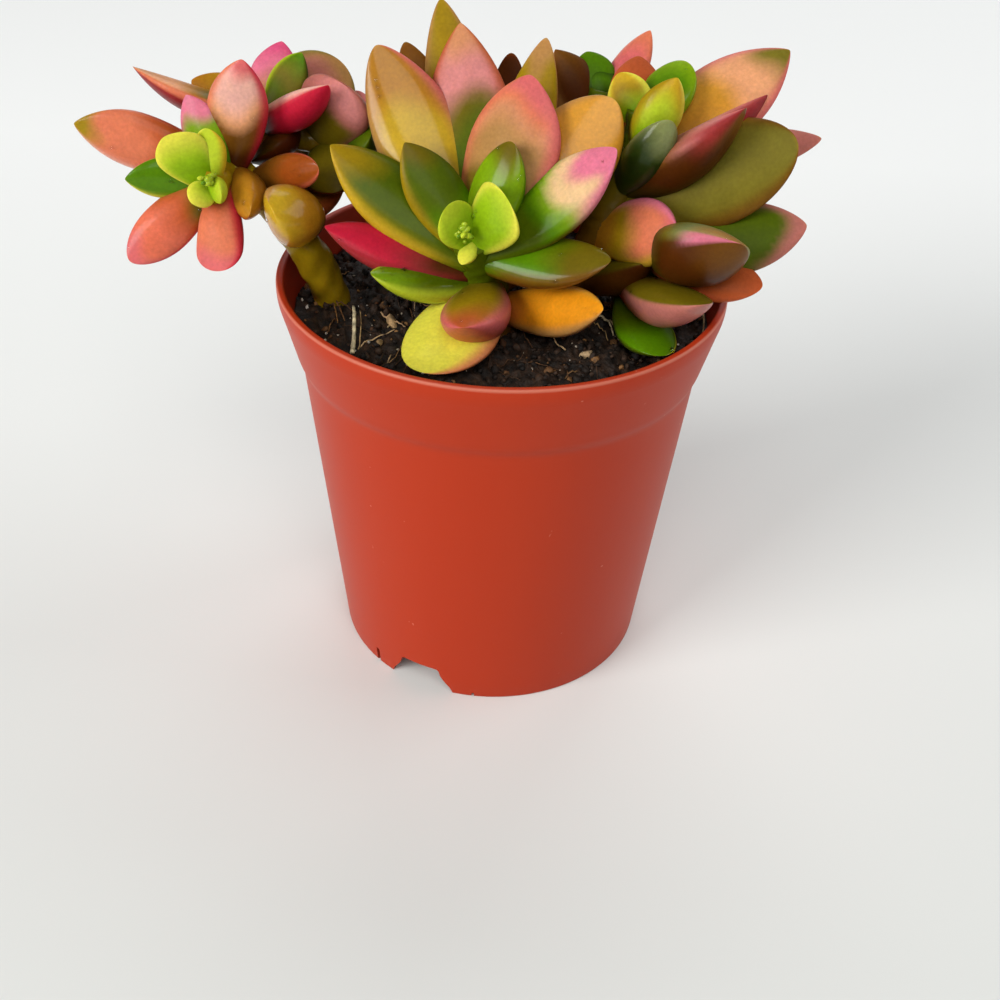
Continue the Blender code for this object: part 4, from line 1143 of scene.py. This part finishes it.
LOW_RIGHT_LEAVES = (
    Leaf((35.0, -4.0, 62.0), 2.0, 8.6, 5.0, -20, 0.6,
         "moss 5 dusty_rose", "dusty_rose dusty_rose late", "moss dusty_rose"),
    Leaf((26.0, -14.0, 64.0), 0.5, 10.4, 7.0, 10, 0.3,
         "dark_olive khaki sage tan", "sage pink late thin", "dark_olive umber 2 brown", 0.1),
    Leaf((30.0, -9.0, 56.5), 3.0, 6.4, 4.6, -25, 0.3, "umber russet rust", "rust rust", "umber russet rust"),
    Leaf((22.3, -18.0, 58.7), 8.5, 6.8, 5.2, -25, 0.2,
         "umber olive 3", "same dusty_rose thin", "rust dusty_rose 2", 0.25),
    Leaf((18.6, -15.2, 50.4), 11.0, 7.0, 3.6, -20, 0.2,
         "deep_green moss green 2", "lime same thin", "deep_green moss", 0.3),
)
LOW_RIGHT_FANS = (Fan(2, 20, 55, 18, 14, 6.0, 6.4, 4.4),)
place_head("head_right", (
    grow_stem("right_stem", RIGHT_STEM, "brown", "moss", 4),
    grow_leaves("right_leaves", RIGHT_STEM, RIGHT_LEAVES, RIGHT_FANS, 4),
    grow_stem("low_right_stem", LOW_RIGHT_STEM, "brown", "olive", 5),
    grow_leaves("low_right_leaves", LOW_RIGHT_STEM, LOW_RIGHT_LEAVES, LOW_RIGHT_FANS, 5),
))

# Back head
# Only its tips show from the front, between the centre and the right: dark green, brown and pink.
BACK_STEM = Stem((5.0, 12.0), ((8.5, 10.0, 60.5),), (11.0, 10.0, 72.0), 2.0)
BACK_LEAVES = (
    Leaf((5.2, 11.5, 76.1), 3.5, 6.4, 4.4, 60, 0.9,
         "umber 2 brown", "tan same", "umber brown", belly=0.42),
    Leaf((9.0, 13.0, 75.5), 1.0, 5.4, 3.0, 40, 0.5, "deep_green green 2", "", "deep_green green"),
    Leaf((11.3, 12.0, 74.3), 0.8, 4.0, 2.6, 0, 0.6, "deep_green green deep_green", "", "deep_green"),
    Leaf((16.5, 14.0, 78.0), 3.0, 5.0, 3.4, 0, 0.7, "rust rose 2 salmon", "blush same", "rose salmon"),
    Leaf((16.5, 16.0, 74.2), 5.0, 5.0, 3.2, 0, 0.6, "deep_green moss deep_green", "", "deep_green"),
)
BACK_FANS = (
    Fan(3, 70, 135, 6, 13, 3.0, 6.0, 3.8),
    Fan(4, 62, 150, 15, 15, 9.0, 7.4, 4.8),
    Fan(3, 55, 140, 4, 13, 15.5, 7.2, 4.8),
)
place_head("head_back", (
    grow_stem("back_stem", BACK_STEM, "brown", "moss", 6),
    grow_leaves("back_leaves", BACK_STEM, BACK_LEAVES, BACK_FANS, 6),
))

# Growing tips
# At the heart of the left and the centre rosette, the youngest leaves are still a cluster of yellow-green
# grains, each about a millimetre long.
GROWING_TIPS = (
    # name, node, slot, middle, count and reach of the cluster
    ("left_growing_tip", "head_left", "leaves_left", (-33.2, -7.8, 66.2), 16, 1.0),
    ("centre_growing_tip", "head_centre", "leaves_centre", (-4.3, -11.0, 62.8), 22, 1.2),
)
GRAIN_SPREAD = (0.2, 1.0)
GRAIN_RADII = (0.3, 0.55)
GRAIN_STRETCH = (0.75, 0.75, 1.1)
for tip_seed, (name, node, slot, middle, count, reach) in enumerate(GROWING_TIPS):
    draw = np.random.default_rng(70 + tip_seed)
    reaches = reach * draw.uniform(*GRAIN_SPREAD, (count, 1))
    places = np.array(middle) + reaches * unit(draw.normal(size=(count, 3)))
    sizes = draw.uniform(*GRAIN_RADII, (count, 1, 1))
    shapes = (ball_points * GRAIN_STRETCH) @ turned_axes(draw, count)
    share = np.repeat(draw.uniform(0.0, 1.0, (count, 1)), len(ball_points), 0)
    colours = (1 - share) * linear(TINTS["green"]) + share * linear(TINTS["lime"])
    place_head(node, (
        make_piece(
            name, (shapes * sizes + places[:, None]).reshape(-1, 3), faces_of_balls(count), leaf_skin,
            colours, np.full(len(colours), STEM_WETNESS),
        ),
    ))

# Water drops
# Small clear drops lie on the wet leaves, more of them the wetter the leaf. Each is a ball flattened to
# three fifths of its height along the leaf's skin and sunk a third into it.
DROPS_ON_A_WET_LEAF = 9
DROP_RADII = (0.12, 0.34)
DROP_SIZE_SPREAD = (0.7, 1.0)
DROP_FLATTENING = 0.4
DROP_LIFT = 0.2
# Water is clear and smooth as a mirror, so a drop shows mostly as a glint.
water, _ = new_material(
    "clear water", Base_Color=(1.0, 1.0, 1.0, 1.0), Roughness=0.02, IOR=1.333, Transmission_Weight=1.0
)


def drops_on_leaf(skin, wetness, draw):
    """Balls of a seeded size at seeded places on the upper face of a leaf's skin. The way up is square to
    the skin, and a ball keeps three fifths of its height along it."""
    rings = skin[:-2].reshape(LEAF_RINGS, LEAF_SIDES, 3)
    balls = []
    for _ in range(round(DROPS_ON_A_WET_LEAF * wetness)):
        ring = draw.integers(8, LEAF_RINGS - 4)
        side = draw.integers(2, LEAF_SIDES // 2 - 1)
        place = rings[ring, side]
        along = rings[ring + 1, side] - rings[ring - 1, side]
        across = rings[ring, side + 1] - rings[ring, side - 1]
        out = unit(place - rings[ring].mean(0))
        up = unit(np.cross(along, across))
        up = up * np.sign(up.dot(out))
        radius = draw.uniform(*DROP_RADII) * draw.uniform(*DROP_SIZE_SPREAD)
        flat = ball_points - DROP_FLATTENING * (ball_points @ up)[:, None] * up
        balls.append(place + radius * (DROP_LIFT * up + flat))
    return balls


for drop_seed, (side, node, slot, leaves) in enumerate((
    ("left", "head_left", "leaves_left", LEFT_LEAVES),
    ("centre", "head_centre", "leaves_centre", CENTRE_LEAVES),
    ("right", "head_right", "leaves_right", RIGHT_LEAVES),
    ("low_right", "head_right", "leaves_right", LOW_RIGHT_LEAVES),
)):
    draw = np.random.default_rng(90 + drop_seed)
    balls = []
    for leaf, skin in zip(leaves, leaf_skins[f"{side}_leaves"]):
        balls += drops_on_leaf(skin, leaf.wet, draw)
    drops = make_piece(f"{side}_drops", np.concatenate(balls), faces_of_balls(len(balls)), water)
    place_head(node, (drops,))
